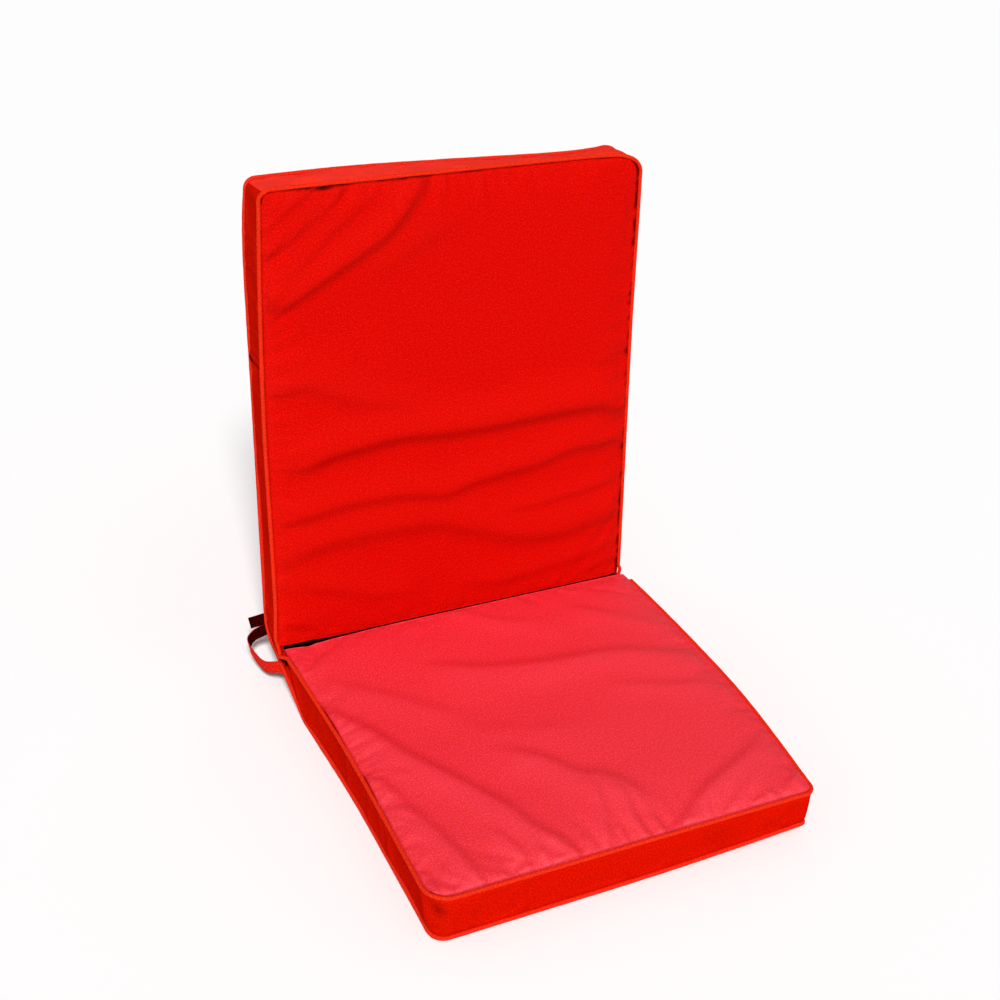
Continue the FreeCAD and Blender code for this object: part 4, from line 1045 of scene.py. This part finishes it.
JOIN_HEIGHT = 0.302
joint_at = back.to_row(np.array([-0.2045, JOIN_HEIGHT, 0.0475]))
piping_inner = tube("inner_piping", inner, PIPING_RADIUS, PIPING, closed=True, ripple=0.05, seed=5,
                    swell=joint(inner, joint_at))
piping_outer = tube("outer_piping", outer, PIPING_RADIUS, SHADED_LOW_PIPING, closed=True, ripple=0.05, seed=6)
for item, where, runs in ((piping_inner, "inner", ("seat_top", "back_front")),
                          (piping_outer, "outer", ("seat_bottom", "back_rear"))):
    nodes = [f"{run}_piping" for run in runs] + [f"hinge_{where}_piping_{side}" for side in ("right", "left")]
    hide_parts(*(node + part for node in nodes for part in ("", "_cord")))
for item in (piping_inner, piping_outer):
    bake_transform(item)


# ---------------------------------------------------------------- joins in the back's edge band
def join_strip(name, side):
    """Where two strips of the back's edge band overlap: a turned edge that stands a little proud of the band."""
    local = back.from_row(side)
    middle = local[0, :, 1]
    picks = np.flatnonzero(np.abs(middle - JOIN_HEIGHT - 0.004) < 0.0062)
    picks = picks[np.argsort(middle[picks])]
    part = local[2:-2][:, picks]
    ox, oq = back.outward(part[..., 0], part[..., 1])
    rise = np.interp(np.arange(len(picks)), [0, 1, 2, len(picks) - 1], [0.0001, 0.0002, 0.0013, 0.0003])
    part = part + np.stack([ox, oq, 0 * ox], -1) * rise[None, :, None]
    # painted shadow along the turned edge and at its corners
    dark = np.zeros(part.shape[:2])
    dark[:, 0] = 0.75
    dark[:3, :3], dark[-3:, :3] = 1.0, 1.0
    item = patch(name, back.to_row(part), BAND, 0.0007, deep=dark)
    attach(item, "back")


join_strip("band_join_right", back_sides[3])
join_strip("band_join_left", back_sides[1])


# ---------------------------------------------------------------- zips
ZIP_HALF, ZIP_TAPE_WIDTH, COIL_HALF = 0.175, 0.011, 0.171


def stitches(place, spots):
    """Rows of thread stitches, each a short bead along the zip."""
    shape = np.array([(-1.0, 0.04), (-0.75, 0.2), (0.75, 0.2), (1.0, 0.04)]) * MM
    ring = np.arange(6) * math.pi / 3
    points, faces = [], []
    for x, y in spots:
        first = len(points)
        for dx, radius in shape:
            points += [place(x + dx, y + radius * math.cos(a), 0.00085 + radius * math.sin(a)) for a in ring]
        for r in range(3):
            for k in range(6):
                j = (k + 1) % 6
                faces.append((first + r * 6 + k, first + r * 6 + 6 + k, first + r * 6 + 6 + j, first + r * 6 + j))
        faces.append(tuple(first + k for k in range(6)))
        faces.append(tuple(first + 18 + k for k in reversed(range(6))))
    return points, faces


def build_zip(pad_name, origin, across, out, tapes):
    """The zip of one pad: two woven tapes, their stitching, and the interlocked coil. Along X from its middle."""
    along = np.array([1.0, 0.0, 0.0])

    def place(x, y, z):
        return origin + along * x + across * y + out * z

    def finish(item, slot, *nodes):
        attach(item, pad_name)
        if nodes:
            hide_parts(*nodes)

    spots = []
    for sign, tape in zip((-1, 1), tapes):
        xs, ys = np.linspace(-ZIP_HALF, ZIP_HALF, 160), sign * np.linspace(0.0001, 0.0001 + ZIP_TAPE_WIDTH, 9)
        lift = 0.0004 + 0.00010 * soft_noise((160, 9), (40, 3), 80 + sign)
        grid = place(xs[:, None, None], ys[None, :, None], lift[..., None])
        node = f"{pad_name}_zip_tape_{tape}"
        finish(patch(f"{node}_cloth", grid, ZIP_TAPE, 0.0006), "zip_tape", node)
        spots += [(x, sign * 0.0088) for x in np.arange(-0.172, 0.1725, 0.0031)]
    points, faces = stitches(place, spots)
    finish(make_mesh(f"{pad_name}_zip_stitches", points, faces, TAPE, np.zeros((sum(map(len, faces)), 2))), "zip_tape")
    turns = int(2 * COIL_HALF / 0.0015)
    t = np.linspace(0, turns, turns * 8 + 1)
    parts = []
    for sign in (-1, 1):
        angle = 2 * math.pi * (t + (sign > 0) * 0.5)
        x = -COIL_HALF + 2 * COIL_HALF * t / turns
        y, z = sign * (0.0008 + 0.00095 * np.cos(angle)), 0.0015 + 0.00055 * np.sin(angle)
        parts.append(tube_parts(place(x[:, None], y[:, None], z[:, None]), 0.00024, 5))
    count = len(parts[0][0])
    points = np.vstack([parts[0][0], parts[1][0]])
    faces = parts[0][1] + [tuple(i + count for i in f) for f in parts[1][1]]
    teeth = make_mesh(f"{pad_name}_zip_coil_teeth", points, faces, NYLON, parts[0][2] + parts[1][2])
    finish(teeth, "zip_coil", f"{pad_name}_zip_coil")
    for node in (f"{pad_name}_zip_stops", f"{pad_name}_zip_slider", f"{pad_name}_zip_pull"):
        for place_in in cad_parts[node].material_slots:
            place_in.material = METAL


build_zip("back", back.to_row(np.array([0, BACK_ZIP_AT, 0])), np.array([0, -SIN, -COS]), np.array([0, COS, -SIN]),
          ("upper", "lower"))
slope = math.atan2(TAPER_HEIGHT, TAPER_LENGTH - NEAR_END)
build_zip("seat", np.array([0, HINGE[1] - SEAT_ZIP_AT, (TAPER_LENGTH - SEAT_ZIP_AT) * math.tan(slope)]),
          np.array([0, -math.cos(slope), -math.sin(slope)]), np.array([0, math.sin(slope), -math.cos(slope)]),
          ("rear", "front"))


# ---------------------------------------------------------------- hinge
# where the edge band is pinched shut between the pads, on the plane of the gusset: y, z
UPPER_HOLLOW = [(0.2445, 0.0330), (0.2370, 0.0375), (0.2280, 0.0405), (0.2180, 0.0445)]


def gusset(name, sign, seed):
    """The pinched stretch of edge band between the two pads, with its pleats, which are blackened with painted shade
    where they are pinched deepest.
    """
    n, m = 34, 26
    s, t = np.linspace(0, 1, n), np.linspace(0, 1, m)
    top = spline([(0.1992, 0.184, 0.0462), (0.1985, 0.1930, 0.0465), (0.1980, 0.1955, 0.0490),
                  (0.1992, 0.1985, 0.0585)], n)
    low = spline([(0.1992, 0.184, 0.0290), (0.1985, 0.2000, 0.0300), (0.1980, 0.2180, 0.0312),
                  (0.1978, 0.2330, 0.0350), (0.1985, 0.2400, 0.0430), (0.1992, 0.2405, 0.0560)], n)
    grid = top[:, None] * (1 - t)[None, :, None] + low[:, None] * t[None, :, None]
    rim = ((np.minimum(1, 6 * t) * np.minimum(1, 6 * (1 - t)))[None]
           * (np.minimum(1, 7 * s) * np.minimum(1, 7 * (1 - s)))[:, None])
    pinch = near_line(grid[..., 1], grid[..., 2], UPPER_HOLLOW, 0.0036) * np.minimum(1, 14 * (1 - t))[None]
    tuck = near_line(HINGE[1] - grid[..., 1], grid[..., 2], LOWER_HOLLOW, HOLLOW_REACH)
    deep = np.maximum(pinch, tuck)
    grid[..., 0] -= (0.0020 + 0.0060 * deep + 0.0006 * soft_noise((n, m), (8, 6), seed)) * rim
    grid[..., 0] *= sign
    if sign < 0:
        grid, deep = grid[:, ::-1], deep[:, ::-1]
    # the pleats' depth is passed on as painted shade
    item = patch(name, grid, BAND, 0.0008, deep=deep)
    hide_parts(name.replace("_cloth", ""))
    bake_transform(item)


gusset("hinge_gusset_right_cloth", -1, 61)
gusset("hinge_gusset_left_cloth", 1, 62)


def outer_skin():
    """The cloth under and behind the hinge, with the slack it folds into."""
    n, m = 120, 26
    profile = spline([(0.1905, 0.0262), (0.200, 0.0283), (0.214, 0.0288), (0.228, 0.0312), (0.2375, 0.0360),
                      (0.2425, 0.0430), (0.2436, 0.0490)], m)
    across = np.linspace(-0.1985, 0.1985, n)
    grid = np.stack(np.broadcast_arrays(across[:, None], profile[:, 0], profile[:, 1]), -1)
    slack = np.sin(math.pi * np.linspace(0, 1, m))[None]
    ends = smooth((0.1985 - np.abs(across)) / 0.01)[:, None]
    wave = soft_noise((n, m), (14, 3), 71) * 0.0016 + soft_noise((n, m), (40, 5), 72) * 0.0006
    grid[..., 1] += wave * slack * ends * 0.5
    grid[..., 2] -= (wave + 0.0008) * slack * ends
    item = patch("hinge_skin_cloth", grid[::-1], COVER, 0.0009)
    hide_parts("hinge_skin")
    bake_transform(item)


outer_skin()
low_corner, high_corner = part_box("hinge_welt")
welt_centre = (low_corner + high_corner) / 2
welt_x = np.linspace(low_corner.x + 0.002, high_corner.x - 0.002, 180)
welt_line = np.stack([welt_x, welt_centre.y + 0.0002 * np.sin(welt_x * 90),
                      welt_centre.z - 0.0020 + 0.0003 * np.sin(welt_x * 61 + 1)], 1)
welt = tube("hinge_welt_cloth", welt_line, 0.0019, SHADOW_BLACK_WELT, ripple=0.08, seed=8)
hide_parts("hinge_welt")
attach(welt, "seat")

# ---------------------------------------------------------------- ties
LOWER_TIE = [(196, 247.5, 37), (203, 254, 30), (213, 254, 25), (221, 241, 26), (217, 227, 18), (212, 214, 14),
     (207, 204, 19),
             (199, 196, 24), (189, 187, 16), (179, 170, 9)]
UPPER_TIE = [(136, 249, 52), (149, 256, 49), (165, 259, 45), (182, 260, 43), (198, 261, 40), (212, 263, 37)]
TIE_WIDTH, TIE_THICKNESS = 0.012, 0.001
LEANS = {"lower": [0.0, -0.3, -0.1, 0.6, 0.2], "upper": [0.0, -0.2, -0.4, -0.6, -0.7]}
for side, sign in (("right", -1), ("left", 1)):
    for level, route, length, end in (("lower", LOWER_TIE, 0.120, "object"), ("upper", UPPER_TIE, 0.079, "bare")):
        run = nurbs([(sign * x * MM, y * MM, z * MM) for x, y, z in route])
        leans = [sign * a for a in LEANS[level]]
        item = ribbon(f"tie_{side}_{level}_tape", run, TIE_WIDTH, TIE_THICKNESS, leans, sign > 0)
        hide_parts(f"tie_{side}_{level}")
        if level == "lower":
            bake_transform(item)
        else:
            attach(item, "back")
